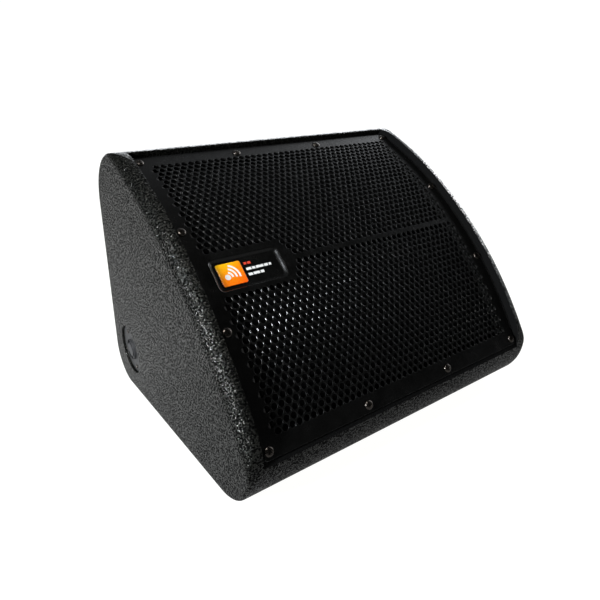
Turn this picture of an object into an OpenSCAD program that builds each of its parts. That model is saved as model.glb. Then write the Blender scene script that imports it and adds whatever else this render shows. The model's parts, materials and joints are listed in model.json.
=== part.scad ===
// Stage monitor wedge: a curved-front floor monitor with a 12 inch coaxial driver.
// Millimetres. +X is to the listener's right, +Y to the back, +Z up.
// The origin is on the floor, under the middle of the object's outer box.

/* [Cabinet] */
// Overall width across the two side panels
cab_w = 455; // [430:1:500]
// Thickness of each side panel
ply = 18; // [15:1:21]
// Thickness of the bottom, back and baffle boards
wall = 15; // [12:1:16]
// Radius of the side panels' curved front edge
arc_r = 580; // [576:1:590]
// Height of the bottom face above the curve's centre
arc_drop = 161.7; // [158:0.1:166]
// Distance by which the back plane passes in front of the curve's centre
back_gap = 22.6; // [18:0.1:26]
// Forward lean of the back panel, in degrees
back_lean = 14.5; // [13:0.1:16]
// Corner radius of the side panel at the top
top_r = 92; // [86:1:96]
// Corner radius of the side panel at the bottom of the back
rear_r = 46; // [40:1:50]
// Corner radius of the side panel at the toe
toe_r = 75; // [72:1:80]
// Round-over along the side panels' front edge
front_round = 17; // [8:0.5:17]
// Thickness of the rounded rails at the toe, top and rear corner
rail_t = 20; // [16:1:22]

/* [Grille] */
// Outer radius of the curved grille
grille_r = 570; // [568:1:572]
// Thickness of the grille's steel sheet
sheet = 1.5; // [1:0.1:2]
// Half of the grille's width
grille_half_w = 206.6; // [200:0.1:208]
// Tilt of the baffle and of the grille's middle from the horizontal, in degrees
baffle_tilt = 45.8; // [45:0.1:46.5]
// Arc length from the grille's middle to its top edge
grille_top_s = 200; // [196:1:202]
// Arc length from the grille's middle to its bottom edge
grille_bottom_s = 199; // [196:1:203]
// Arc length from the grille's middle to its end screws
end_screw_s = 190; // [186:1:192]
// Arc length from the grille's middle to its middle side screws
mid_screw_s = 63.4; // [50:0.1:80]
// Distance of the side screws from the middle plane
side_screw_x = 200; // [196:1:202]

/* [Badge] */
// Left edge of the pressed badge pocket
pocket_x = -189; // [-190:1:-180]
// Width of the pocket
pocket_w = 89; // [80:1:100]
// Height of the pocket
pocket_h = 42; // [36:1:46]
// Depth of the pocket
pocket_d = 3.5; // [2:0.1:4]
// Width of the badge plate
badge_w = 30; // [24:1:32]
// Height of the badge plate
badge_h = 28; // [22:1:30]

/* [Connector plates] */
// Radius of the round connector plate
plate_r = 37; // [34:0.5:40]
// Depth of the plate's face below the side panel
plate_recess = 3.4; // [2:0.1:5]
// Distance of the plates in front of the curve's centre
plate_ahead = 158; // [150:1:166]
// Height of the plates above the bottom face
plate_v = 70; // [62:1:80]

/* [Woofer] */
// Distance of the baffle's front face from the curve's centre
baffle_d = 520; // [519:1:521]
// Outer radius of the woofer's frame
frame_r = 156; // [155:0.5:157]
// Radius of the circle of the woofer's bolts
bolt_circle_r = 148; // [147:0.5:149]
// Number of the woofer's bolts
bolt_count = 8; // [4:2:8]
// Radius of the woofer's hole in the baffle
cutout_r = 141.5; // [141:0.5:142]
// Outer radius of the woofer's magnet
magnet_r = 80; // [70:1:84]
// Inner radius of the voice coil former
coil_r = 37.3; // [37.2:0.1:37.4]

/* [Ports, handle and feet] */
// Inner radius of a port tube
port_r = 30; // [26:1:30]
// Length of a port tube behind the baffle's front face
port_len = 90; // [60:1:100]
// Distance of each port from the middle plane
port_x = 158; // [155:1:158]
// Distance of each port above the middle of the baffle
port_u = 139; // [136:1:139]
// Width of the handle's pocket in the back panel
handle_w = 122; // [110:1:140]
// Height of the handle's pocket
handle_h = 66; // [60:1:76]
// Depth of the handle's pocket
handle_d = 44; // [36:1:50]
// Height of the handle's middle above the bottom face
handle_v = 236; // [225:1:240]
// Thickness of the rubber feet
foot_h = 3; // [2:0.5:6]
// Radius of the rubber feet
foot_r = 16; // [12:1:20]

/* [Hidden] */
$fn = 96;

// ---- Outline of the side panel, in the plane of Y and Z, about the curve's centre ----
inner_x = cab_w / 2 - ply;
back_n = [cos(back_lean), sin(back_lean)];
back_up = [-sin(back_lean), cos(back_lean)];
// Small growth of the outline, so that the round-over alone sets the front edge
edge_spare = 0.6;

function toe_c(r) = [-sqrt(pow(r - toe_r, 2) - pow(arc_drop + toe_r, 2)), arc_drop + toe_r];
function top_c(r) = -(back_gap + top_r) * back_n
    + sqrt(pow(r - top_r, 2) - pow(back_gap + top_r, 2)) * back_up;
rear_c = [(-back_gap - rear_r - back_n[1] * (arc_drop + rear_r)) / back_n[0], arc_drop + rear_r];

function bearing(p) = atan2(p[1], p[0]);
function unit(a) = [cos(a), sin(a)];
function arc_points(c, r, a0, a1, n) = [for (i = [0:n]) c + r * unit(a0 + (a1 - a0) * i / n)];
function outline(inset, r) = concat(
    arc_points(rear_c, rear_r - inset, -90, back_lean, 14),
    arc_points(top_c(r), top_r - inset, back_lean, bearing(top_c(r)), 24),
    arc_points([0, 0], r - inset, bearing(top_c(r)), bearing(toe_c(r)), 48),
    arc_points(toe_c(r), toe_r - inset, bearing(toe_c(r)), 270, 28)
);

// ---- Place of the curve's centre in the part's own frame ----
arc_y = -(toe_c(arc_r + edge_spare)[0] - toe_r + rear_c[0] + rear_r) / 2;
arc_z = foot_h - arc_drop;
mid_dir = 90 + baffle_tilt;
grille_in_r = grille_r - sheet;
floor_in = foot_h + wall;

// Clearance left between parts that lie against each other
fit = 0.1;

function turn(s) = s / grille_r * 180 / PI;
function back_y(v) = (-back_gap - back_n[1] * (arc_drop + v)) / back_n[0];
// Gaps between the grille's ends and the rails
top_gap = 8;
bottom_gap = 5;
// The rails' ledges behind the grille's ends, as distances from its middle
ledge_in = 176;
ledge_out = 206;
baffle_half_h = 190;
batten_w = 18;
batten_half = 160;
// Longer than any cut needs to be
FAR = 900;

// ---- Sizes that more than one section uses ----
plate_t = 2;
plate_screw_r = 28;
plate_pilot_r = 1.5;
seat_hole_r = 20;
socket_r = 12;
bolt_turn = 22.5;
nut_barrel_r = 3.9;
port_wall = 2.5;
port_lip = 6;
dish_t = 2;
dish_rim = 14;
foot_screw_r = 2;
board_screw_r = 1.5;

// ---- Frames of reference ----
module profile(x0, x1)
    translate([x0, arc_y, arc_z]) rotate([90, 0, 90]) linear_extrude(x1 - x0) children();
module sweep(a0, a1)
    translate([0, arc_y, arc_z]) rotate([90, 0, 90]) rotate(a0)
        rotate_extrude(angle = a1 - a0, $fn = 256) children();
module on_grille(x, s)
    translate([0, arc_y, arc_z]) rotate([baffle_tilt - turn(s), 0, 0])
        translate([x, 0, grille_r]) children();
module on_baffle()
    translate([0, arc_y, arc_z]) rotate([baffle_tilt, 0, 0]) translate([0, 0, baffle_d]) children();
module on_back(v)
    translate([0, arc_y + back_y(v), foot_h + v]) rotate([90 - back_lean, 0, 180]) children();
module on_side(side)
    translate([side * cab_w / 2, arc_y - plate_ahead, foot_h + plate_v]) rotate([0, side * 90, 0])
        children();

// ---- Shared shapes ----
module ring(r0, r1, z0, z1)
    translate([0, 0, z0]) difference() {
        cylinder(r = r1, h = z1 - z0);
        translate([0, 0, -1]) cylinder(r = r0, h = z1 - z0 + 2);
    }
module revolve(points) rotate_extrude() polygon(points);
module plate_screw_places() around(4, plate_screw_r, 15) children();
module around(n, r, a0 = 0) for (i = [0:n - 1]) rotate(a0 + i * 360 / n) translate([r, 0, 0]) children();
module box(size) translate([-size[0] / 2, -size[1] / 2, 0]) cube(size);
// A screw whose head stands on z = 0, with a crossed recess
module screw(head_r, head_h, r, length)
    difference() {
        union() {
            cylinder(r1 = head_r, r2 = head_r * 0.72, h = head_h, $fn = 32);
            translate([0, 0, -length]) cylinder(r = r, h = length + 0.1, $fn = 24);
        }
        for (a = [0, 90]) rotate(a) translate([0, 0, head_h * 0.4])
            box([head_r * 1.1, head_r * 0.26, head_h]);
    }

// ---- Cabinet ----
module front_edge_disc()
    rotate_extrude($fn = 256) polygon(concat(
        [[0, 0], [arc_r, 0]],
        arc_points([arc_r - front_round, ply - front_round], front_round, 0, 90, 10),
        [[0, ply]]
    ));
module plate_seat(side)
    on_side(side) {
        translate([0, 0, -plate_recess - plate_t]) cylinder(r = plate_r, h = FAR);
        translate([0, 0, -ply - 1]) cylinder(r = seat_hole_r, h = ply + 1);
        plate_screw_places() translate([0, 0, -ply + 2]) cylinder(r = plate_pilot_r, h = ply, $fn = 24);
    }
module side_panel(side)
    color([0.13, 0.13, 0.14]) difference() {
        intersection() {
            profile(side > 0 ? inner_x : -cab_w / 2, side > 0 ? cab_w / 2 : -inner_x)
                polygon(outline(0, arc_r + edge_spare));
            translate([side * inner_x, arc_y, arc_z]) rotate([90, 0, 90])
                mirror([0, 0, side > 0 ? 0 : 1]) front_edge_disc();
        }
        plate_seat(side);
    }
module bottom_panel()
    color([0.12, 0.12, 0.13]) difference() {
        profile(-inner_x, inner_x) translate([toe_c(arc_r)[0] + fit, arc_drop])
            square([rear_c[0] - toe_c(arc_r)[0] - 2 * fit, wall]);
        foot_places() cylinder(r = foot_screw_r, h = wall, $fn = 24);
        board_places() translate([0, 0, -8]) cylinder(r = board_screw_r, h = 9, $fn = 24);
    }
module back_panel()
    color([0.12, 0.12, 0.13]) difference() {
        profile(-inner_x, inner_x) rotate(back_lean)
            translate([-back_gap - wall, rear_c * back_up + fit])
                square([wall, (top_c(arc_r) - rear_c) * back_up - 2 * fit]);
        on_back(handle_v) {
            translate([0, 0, -wall - 1]) box([handle_w + 2 * dish_t, handle_h + 2 * dish_t, wall + 2]);
            handle_screw_places() translate([0, 0, -wall + 2]) cylinder(r = 2, h = wall, $fn = 24);
        }
    }
module band()
    difference() {
        polygon(outline(0, arc_r));
        polygon(outline(rail_t, arc_r));
    }
module sector(a0, a1) polygon([[0, 0], FAR * unit(a0), FAR * unit(a1)]);
module ledge(end)
    intersection() {
        rotate(mid_dir) translate([baffle_d, end > 0 ? -ledge_out : ledge_in])
            square([60, ledge_out - ledge_in]);
        circle(r = grille_in_r, $fn = 256);
        polygon(outline(1, arc_r));
    }
module top_rail()
    color([0.14, 0.14, 0.15]) difference() {
        profile(-inner_x, inner_x) union() {
            intersection() {
                band();
                rotate(back_lean) translate([-FAR / 2, top_c(arc_r) * back_up]) square(FAR);
                sector(60, mid_dir - turn(grille_top_s + top_gap));
            }
            ledge(1);
        }
        end_screw_places(1) pilot();
    }
module front_rail()
    color([0.14, 0.14, 0.15]) difference() {
        profile(-inner_x, inner_x) union() {
            intersection() {
                band();
                translate([toe_c(arc_r)[0] - FAR, 0]) square(FAR);
                sector(mid_dir + turn(grille_bottom_s + bottom_gap), 190);
            }
            ledge(-1);
        }
        end_screw_places(-1) pilot();
    }
module rear_rail()
    color([0.14, 0.14, 0.15]) profile(-inner_x, inner_x) translate(rear_c) rotate(-90) intersection() {
        difference() {
            circle(r = rear_r);
            circle(r = rear_r - rail_t);
        }
        sector(0, 90 + back_lean);
    }
module baffle()
    color([0.1, 0.1, 0.1]) difference() {
        on_baffle() translate([fit - inner_x, -baffle_half_h, -wall])
            cube([2 * (inner_x - fit), 2 * baffle_half_h, wall]);
        on_baffle() {
            translate([0, 0, -wall - 1]) cylinder(r = cutout_r, h = wall + 2);
            around(bolt_count, bolt_circle_r, bolt_turn) translate([0, 0, -wall - 1])
                cylinder(r = nut_barrel_r, h = wall + 2, $fn = 32);
            for (side = [-1, 1]) translate([side * port_x, port_u, -wall - 1])
                cylinder(r = port_r + port_wall, h = wall + 2);
        }
    }
module baffle_battens()
    color([0.55, 0.42, 0.28]) on_baffle() for (side = [-1, 1])
        translate([side * (inner_x - fit - batten_w / 2), 0, -wall - batten_w - fit])
            translate([-batten_w / 2, -batten_half, 0]) cube([batten_w, 1.62 * batten_half, batten_w]);

// ---- Grille ----
cleat_r = 553;
cleat_w = 20;
cleat_turn = 17.9;
foam_r = 563;
foam_t = 8;
foam_half_w = 185;
foam_turn = 17.5;
screw_r = 2;
mid_screw_x = side_screw_x / 3;
module pilot() translate([0, 0, -16]) cylinder(r = screw_r, h = 20, $fn = 24);
module end_screw_places(end)
    for (x = [-side_screw_x, -mid_screw_x, mid_screw_x, side_screw_x]) on_grille(x, end * end_screw_s)
        children();
module side_screw_places()
    for (x = [-side_screw_x, side_screw_x], s = [-mid_screw_s, mid_screw_s]) on_grille(x, s) children();
module grille_cleats()
    color([0.1, 0.1, 0.1]) difference() {
        for (side = [-1, 1]) sweep(mid_dir - cleat_turn, mid_dir + cleat_turn)
            translate([cleat_r, side > 0 ? inner_x - fit - cleat_w : fit - inner_x])
                square([grille_in_r - fit - cleat_r, cleat_w]);
        side_screw_places() pilot();
    }
module grille()
    color([0.05, 0.05, 0.06]) difference() {
        union() {
            difference() {
                sweep(mid_dir - turn(grille_top_s), mid_dir + turn(grille_bottom_s))
                    translate([grille_in_r, -grille_half_w]) square([sheet, 2 * grille_half_w]);
                on_grille(pocket_x + pocket_w / 2, 0) translate([0, 0, -4])
                    box([pocket_w - 2 * sheet, pocket_h - 2 * sheet, 8]);
            }
            on_grille(pocket_x + pocket_w / 2, 0) difference() {
                translate([0, 0, -pocket_d - sheet]) box([pocket_w, pocket_h, pocket_d + sheet - 0.9]);
                translate([0, 0, -pocket_d]) box([pocket_w - 2 * sheet, pocket_h - 2 * sheet, 8]);
            }
        }
        end_screw_places(1) pilot();
        end_screw_places(-1) pilot();
        side_screw_places() pilot();
    }
module grille_foam()
    color([0.08, 0.08, 0.08]) sweep(mid_dir - foam_turn, mid_dir + foam_turn)
        translate([foam_r - foam_t, -foam_half_w]) square([foam_t, 2 * foam_half_w]);
module grille_screws()
    color([0.35, 0.35, 0.37]) {
        end_screw_places(1) screw(5.5, 2.4, screw_r, 14);
        end_screw_places(-1) screw(5.5, 2.4, screw_r, 14);
        side_screw_places() screw(5.5, 2.4, screw_r, 14);
    }
badge_t = 0.8;
badge_inset = 8;
module badge_plate()
    color([0.95, 0.45, 0.1]) on_grille(pocket_x + badge_inset + badge_w / 2, 0)
        translate([0, 0, -pocket_d]) box([badge_w, badge_h, badge_t]);

// ---- Connector plates and speaker sockets ----
socket_flange_r = 16;
socket_flange_t = 3.2;
socket_depth = 26;
socket_bore_r = 10;
socket_core_r = 4.5;
socket_screw_r = 13.6;
socket_head_t = 1.2;
module plate_face(side) on_side(side) translate([0, 0, -plate_recess]) children();
module connector_plate(side)
    color([0.07, 0.07, 0.07]) plate_face(side) difference() {
        translate([0, 0, -plate_t]) cylinder(r = plate_r, h = plate_t);
        translate([0, 0, -plate_t - 1]) cylinder(r = socket_r, h = plate_t + 2);
        plate_screw_places() translate([0, 0, -5]) cylinder(r = plate_pilot_r, h = 10, $fn = 24);
        socket_screw_places() translate([0, 0, -5]) cylinder(r = 1.2, h = 10, $fn = 24);
    }
module socket_screw_places() around(2, socket_screw_r, 45) children();
module speaker_socket(side)
    color([0.09, 0.09, 0.1]) plate_face(side) difference() {
        union() {
            cylinder(r = socket_flange_r, h = socket_flange_t);
            translate([0, 0, -socket_depth]) cylinder(r = socket_r, h = socket_depth + 0.1);
        }
        ring(socket_core_r, socket_bore_r, -18, 10);
        translate([0, 0, -2]) cylinder(r = socket_bore_r, h = 10);
        socket_screw_places() {
            translate([0, 0, -5]) cylinder(r = 1.2, h = 10, $fn = 24);
            translate([0, 0, socket_flange_t - socket_head_t]) cylinder(r = 2.2, h = 5, $fn = 32);
        }
        around(4, socket_bore_r, 0) translate([0, 0, -16]) box([1.6, 4, 13]);
        around(4, 7, 45) translate([0, 0, -socket_depth - 1]) box([0.8, 3, 9.5]);
    }
// Contact strips in the socket's wall and their solder tabs at the back
module socket_contacts()
    color([0.8, 0.62, 0.3]) for (side = [-1, 1]) plate_face(side) {
        around(4, socket_bore_r + 0.4, 0) translate([0, 0, -16]) box([0.8, 4, 13]);
        around(4, 7, 45) translate([0, 0, -socket_depth - 8]) box([0.8, 3, 16.5]);
    }
module socket_screws()
    color([0.4, 0.4, 0.42]) for (side = [-1, 1]) plate_face(side)
        socket_screw_places() translate([0, 0, socket_flange_t - socket_head_t])
            screw(2.1, 1, 1.2, 6.8);
module plate_screws()
    color([0.4, 0.4, 0.42]) for (side = [-1, 1]) plate_face(side)
        plate_screw_places() screw(3.2, 1.6, plate_pilot_r, 12);

// ---- Woofer, about the baffle's own frame: z = 0 is the baffle's front face ----
flange_t = 4;
basket_z = -76;
plate_z = -84;
magnet_z = -104;
yoke_z = -112;
gap_out_r = 39.5;
pole_r = 36.6;
throat_r = 12.7;
former_t = 0.4;
winding_t = 1;
neck_z = -58;
cone_rim_r = 123;
cone_rim_z = -12;
spider_z = -61;
terminal_u = 95;
terminal_len = 14;
surround_r = 138;
spider_r0 = coil_r + former_t + 2.2;
spider_step = (84 - spider_r0) / 36;
module woofer_frame()
    color([0.12, 0.12, 0.12]) on_baffle() difference() {
        revolve([
            [frame_r, 0], [frame_r, flange_t], [138, flange_t], [138, 0], [104, -52], [88, -52],
            [88, -56], [84, -62], [84, -66], [87, -70], [87, -72], [52, -72], [52, basket_z],
            [90, basket_z], [91, -56], [106, -56], [141, -3], [141, 0]
        ]);
        around(bolt_count, bolt_circle_r, bolt_turn) translate([0, 0, -1])
            cylinder(r = 2.6, h = flange_t + 2, $fn = 32);
        for (i = [0:5]) rotate(i * 60) rotate_extrude(angle = 40)
            translate([98, -52]) polygon([[0, -10], [60, -10], [60, 42], [29, 42], [4, 4]]);
    }
module woofer_gasket() color([0.16, 0.15, 0.14]) on_baffle() ring(138, 143.5, flange_t, flange_t + 2.5);
module woofer_bolts()
    color([0.2, 0.2, 0.22]) on_baffle() around(bolt_count, bolt_circle_r, bolt_turn)
        translate([0, 0, flange_t]) difference() {
            union() {
                cylinder(r = 4.2, h = 5, $fn = 32);
                translate([0, 0, -22]) cylinder(r = 2.5, h = 22.1, $fn = 32);
            }
            translate([0, 0, 2]) cylinder(r = 2.3, h = 4, $fn = 6);
        }
module woofer_tee_nuts()
    color([0.7, 0.7, 0.66]) on_baffle() around(bolt_count, bolt_circle_r, bolt_turn) {
        ring(2.5, nut_barrel_r, -wall, -4);
        ring(2.5, 9, -wall - 1.6, -wall);
    }
module woofer_top_plate() color([0.5, 0.5, 0.5]) on_baffle() ring(gap_out_r, 75, plate_z, basket_z);
module woofer_magnet() color([0.16, 0.16, 0.17]) on_baffle() ring(48, magnet_r, magnet_z, plate_z);
module woofer_yoke()
    color([0.5, 0.5, 0.5]) on_baffle() revolve([
        [throat_r, yoke_z], [76, yoke_z], [78, yoke_z + 2], [78, magnet_z], [pole_r - 4, magnet_z],
        [pole_r - 4, plate_z - 3], [pole_r, plate_z - 1], [pole_r, basket_z + 1], [throat_r, basket_z + 1]
    ]);
module woofer_cone()
    color([0.1, 0.1, 0.1]) on_baffle() revolve([
        [coil_r + former_t, neck_z], [coil_r + former_t + 1.2, neck_z], [58, -43], [86, -28.5],
        [cone_rim_r, cone_rim_z - 1], [cone_rim_r, cone_rim_z], [85, -27], [57, -41.5],
        [coil_r + former_t, neck_z + 3]
    ]);
// Three shallow pleats from the cone's rim to the frame
function pleat(t, z) = [
    cone_rim_r + t * (surround_r - cone_rim_r),
    cone_rim_z * (1 - t) + t + 3 * abs(sin(t * 540)) + z
];
module woofer_surround()
    color([0.09, 0.09, 0.09]) on_baffle() revolve(concat(
        [for (i = [0:24]) pleat(i / 24, 0)],
        [for (i = [24:-1:0]) pleat(i / 24, -0.8)]
    ));
// Corrugated cloth disc between the voice coil and the frame's shelf
module woofer_spider()
    color([0.72, 0.62, 0.3]) on_baffle() revolve(concat(
        [for (i = [0:36]) [spider_r0 + i * spider_step, spider_z + 1.4 * sin(i * 60)]],
        [for (i = [36:-1:0]) [spider_r0 + i * spider_step, spider_z - 0.6 + 1.4 * sin(i * 60)]]
    ));
module coil_former() color([0.75, 0.68, 0.45]) on_baffle() ring(coil_r, coil_r + former_t, -94, neck_z + 5);
module coil_winding()
    color([0.72, 0.4, 0.2]) on_baffle()
        ring(coil_r + former_t, coil_r + former_t + winding_t, -88, -72);
module woofer_terminals()
    color([0.75, 0.6, 0.3]) on_baffle() for (x = [-9, 9])
        translate([x, terminal_u, -56 - fit - terminal_len]) box([6.3, 0.8, terminal_len]);

// ---- Horn and compression driver, in line with the woofer ----
module horn()
    color([0.08, 0.08, 0.08]) on_baffle() revolve([
        [throat_r, basket_z + 1], [22, basket_z + 1], [22, -70], [27, -56], [38, -40], [57, -28],
        [60, -27], [60, -24], [56, -25], [36, -37.5], [24, -54], [throat_r + 1.5, -70]
    ]);
hf_front = yoke_z - 8;
hf_gap_z = hf_front - 14;
hf_back = hf_gap_z - 6;
hf_coil_r = 21.2;
module hf_yoke()
    color([0.5, 0.5, 0.5]) on_baffle() revolve([
        [throat_r, yoke_z], [44, yoke_z], [44, hf_front], [20.6, hf_front], [20.6, hf_back],
        [18.5, hf_back], [18.5, hf_back + 4], [throat_r, hf_front]
    ]);
module hf_magnet() color([0.16, 0.16, 0.17]) on_baffle() ring(26, 43, hf_gap_z, hf_front);
module hf_top_plate() color([0.5, 0.5, 0.5]) on_baffle() ring(22.8, 44, hf_back, hf_gap_z);
// Dome with concentric slots, held in the yoke's recess
module hf_phase_plug()
    color([0.2, 0.2, 0.2]) on_baffle() difference() {
        translate([0, 0, hf_back]) cylinder(r = 18.5, h = 4);
        for (r = [5, 10], i = [0:2]) rotate(i * 120) rotate_extrude(angle = 100)
            translate([r, hf_back - 1]) square([1.4, 6]);
    }
module hf_diaphragm()
    color([0.8, 0.8, 0.82]) on_baffle() revolve([
        for (i = [0:10]) let (a = 90 - i * 4.3) [31 * cos(a), hf_back + 19 - 31 * sin(a)],
        for (i = [10:-1:0]) let (a = 90 - i * 4.3) [30.4 * cos(a), hf_back + 19 - 30.4 * sin(a)]
    ]);
module hf_coil()
    color([0.72, 0.4, 0.2]) on_baffle() ring(hf_coil_r, hf_coil_r + 0.9, hf_back - 5, hf_gap_z - 1);
module hf_suspension()
    color([0.75, 0.7, 0.5]) on_baffle() ring(hf_coil_r + 0.9, 27, hf_back - 3, hf_back - 2.6);
module hf_mount_ring() color([0.15, 0.15, 0.15]) on_baffle() ring(27, 44, hf_back - 4, hf_back);
module hf_cover()
    color([0.12, 0.12, 0.13]) on_baffle() difference() {
        revolve([
            [0, hf_back - 24], [36, hf_back - 24], [44, hf_back - 18], [44, hf_back - 4],
            [32, hf_back - 4], [32, hf_back - 18], [28, hf_back - 21], [0, hf_back - 21]
        ]);
        around(4, 38, 45) translate([0, 0, hf_back - 30]) {
            cylinder(r = 2, h = 40, $fn = 24);
            cylinder(r = 3.8, h = 9, $fn = 32);
        }
    }
// Screws that lie in the cover's holes, with their heads on its seats
module hf_screws()
    color([0.6, 0.6, 0.62]) on_baffle() around(4, 38, 45) translate([0, 0, hf_back - 21 - fit])
        rotate([180, 0, 0]) screw(3.6, 2.2, 2, 16);

// ---- Ports ----
module port_tubes()
    color([0.1, 0.1, 0.1]) on_baffle() for (side = [-1, 1]) translate([side * port_x, port_u, 0]) {
        ring(port_r, port_r + port_wall, -port_len, 1);
        ring(port_r, port_r + port_lip, fit, 2.5);
    }

// ---- Crossover ----
board_w = 150;
board_d = 96;
board_t = 1.6;
spacer_h = 6;
board_y = 118;
module board_places()
    for (x = [-1, 1], y = [-1, 1])
        translate([x * (board_w / 2 - 6), board_y + y * (board_d / 2 - 6), floor_in]) children();
module on_board(x, y) translate([x, board_y + y, floor_in + spacer_h + board_t]) children();
module crossover_board()
    color([0.12, 0.32, 0.16]) difference() {
        translate([0, board_y, floor_in + spacer_h]) box([board_w, board_d, board_t]);
        board_places() cylinder(r = board_screw_r, h = 20, $fn = 24);
    }
module crossover_spacers() color([0.85, 0.85, 0.82]) board_places() ring(board_screw_r, 4, 0, spacer_h);
module crossover_screws()
    color([0.7, 0.7, 0.7]) board_places() translate([0, 0, spacer_h + board_t])
        screw(3, 1.8, board_screw_r, spacer_h + board_t + 8);
module inductors()
    color([0.72, 0.38, 0.18]) {
        on_board(-46, 12) ring(9, 22, 0, 20);
        on_board(2, 20) translate([0, -1, 18]) rotate([90, 0, 0]) ring(7, 18, -9, 9);
    }
module capacitors()
    color([0.85, 0.7, 0.2]) for (i = [0:2])
        on_board(34, -26 + i * 24) translate([0, 0, 9]) rotate([0, 90, 0]) cylinder(r = 9, h = 34);
module resistor() color([0.88, 0.87, 0.82]) on_board(-40, -30) box([52, 10, 10]);

// ---- Cables inside the cabinet ----
// Each route runs from a socket or the crossover board to its driver
left_route = [
    [-193, 142.2, 73], [-178, 142.2, 73], [-160, 138, 66], [-130, 130, 46],
    [-104, 118, 36], [-86, 108, 34], [-75.5, 101, 32], [-74, 100, 29], [-74, 100, 26.4]
];
right_route = [
    [193, 142.2, 73], [178, 142.2, 73], [160, 138, 66], [130, 130, 46], [104, 116, 37],
    [84, 102, 35], [74.5, 97, 32], [73, 96, 29], [73, 96, 26.4]
];
woofer_route = [
    [-66, 106, 26.4], [-66, 106, 29], [-67.5, 107, 34], [-86, 118, 62],
    [-104, 118, 110], [-98, 104, 160], [-60, 74.6, 194.6], [-22, 64.6, 204.3],
    [-9, 56.7, 210.6], [-9, 49.5, 217.6], [-9, 45.9, 221]
];
horn_route = [
    [24, 80, 26.4], [24, 80, 29], [23.8, 80.6, 34], [22, 86, 56], [14, 88, 78],
    [6, 84, 94], [0, 76, 100], [0, 70, 100.5]
];
cable_r = 2.2;
cable_sides = 8;
route_steps = 3;
function spline(a, b, c, d, t) =
    0.5 * (2 * b + (c - a) * t + (2 * a - 5 * b + 4 * c - d) * t * t + (3 * b - a - 3 * c + d) * t * t * t);
function smooth(p) = concat(
    [for (i = [0:len(p) - 2], j = [0:route_steps - 1])
        spline(p[max(i - 1, 0)], p[i], p[i + 1], p[min(i + 2, len(p) - 1)], j / route_steps)],
    [p[len(p) - 1]]
);
function along(p, i) = let (d = p[min(i + 1, len(p) - 1)] - p[max(i - 1, 0)]) d / norm(d);
function across(t) = let (c = cross(t, [0.1, 0.97, 0.2])) c / norm(c);
module tube(route) {
    p = smooth(route);
    n = cable_sides;
    points = [
        for (i = [0:len(p) - 1], k = [0:n - 1])
            let (t = along(p, i), a = across(t), b = cross(t, a))
                p[i] + cable_r * (a * cos(k * 360 / n) + b * sin(k * 360 / n))
    ];
    walls = [
        for (i = [0:len(p) - 2], k = [0:n - 1])
            [i * n + k, (i + 1) * n + k, (i + 1) * n + (k + 1) % n, i * n + (k + 1) % n]
    ];
    first = [for (k = [0:n - 1]) k];
    last = [for (k = [n - 1:-1:0]) (len(p) - 1) * n + k];
    polyhedron(points, concat(walls, [first, last]));
}
module input_cables() color([0.1, 0.1, 0.1]) for (route = [left_route, right_route]) tube(route);
module driver_cables() color([0.5, 0.1, 0.1]) for (route = [woofer_route, horn_route]) tube(route);

// ---- Damping ----
pad_t = 12;
pad_v = 110;
pad_ahead = 330;
module damping_pads()
    color([0.6, 0.6, 0.58]) {
        on_back(pad_v) translate([0, 0, -wall - pad_t - fit]) box([300, 90, pad_t]);
        translate([0, arc_y - pad_ahead, floor_in + fit]) box([320, 110, pad_t]);
    }

// ---- Handle ----
grip_r = 8;
grip_u = 6;
grip_z = -11;
grip_pin_r = 4;
module handle_screw_places()
    for (x = [-1, 0, 1], y = [-1, 1])
        translate([x * (handle_w / 2 + (x == 0 ? 0 : dish_rim / 2)), y * (handle_h / 2 + dish_rim / 2), 0])
            children();
module handle_dish()
    color([0.08, 0.08, 0.08]) on_back(handle_v) difference() {
        union() {
            box([handle_w + 2 * dish_rim, handle_h + 2 * dish_rim, dish_t]);
            translate([0, 0, -handle_d - dish_t])
                box([handle_w + 2 * dish_t, handle_h + 2 * dish_t, handle_d + dish_t + 0.1]);
        }
        translate([0, 0, -handle_d]) box([handle_w, handle_h, handle_d + 10]);
        handle_screw_places() translate([0, 0, -5]) cylinder(r = 2, h = 10, $fn = 24);
        translate([-handle_w, grip_u, grip_z]) rotate([0, 90, 0])
            cylinder(r = grip_pin_r, h = 2 * handle_w);
    }
module handle_grip()
    color([0.1, 0.1, 0.1]) on_back(handle_v) translate([0, grip_u, grip_z]) rotate([0, 90, 0]) {
        translate([0, 0, -handle_w / 2 + 0.5]) cylinder(r = grip_r, h = handle_w - 1);
        translate([0, 0, -handle_w / 2 - dish_t]) cylinder(r = grip_pin_r, h = handle_w + 2 * dish_t);
    }
module handle_screws()
    color([0.4, 0.4, 0.42]) on_back(handle_v) handle_screw_places()
        translate([0, 0, dish_t]) screw(4, 2, 2, 14);

// ---- Feet ----
foot_x = 170;
foot_front_y = -120;
foot_back_y = 150;
module foot_places()
    for (x = [-foot_x, foot_x], y = [foot_front_y, foot_back_y]) translate([x, y, foot_h]) children();
module rubber_feet()
    color([0.05, 0.05, 0.05]) foot_places() translate([0, 0, -foot_h]) difference() {
        cylinder(r = foot_r, h = foot_h);
        translate([0, 0, -1]) cylinder(r = foot_screw_r, h = foot_h + 2, $fn = 24);
        translate([0, 0, -1]) cylinder(r = 4.5, h = 2.2, $fn = 32);
    }
module foot_screws()
    color([0.5, 0.5, 0.5]) foot_places() translate([0, 0, -foot_h + 1.2]) rotate([180, 0, 0])
        screw(3.8, 0.9, foot_screw_r, 13);

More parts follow.
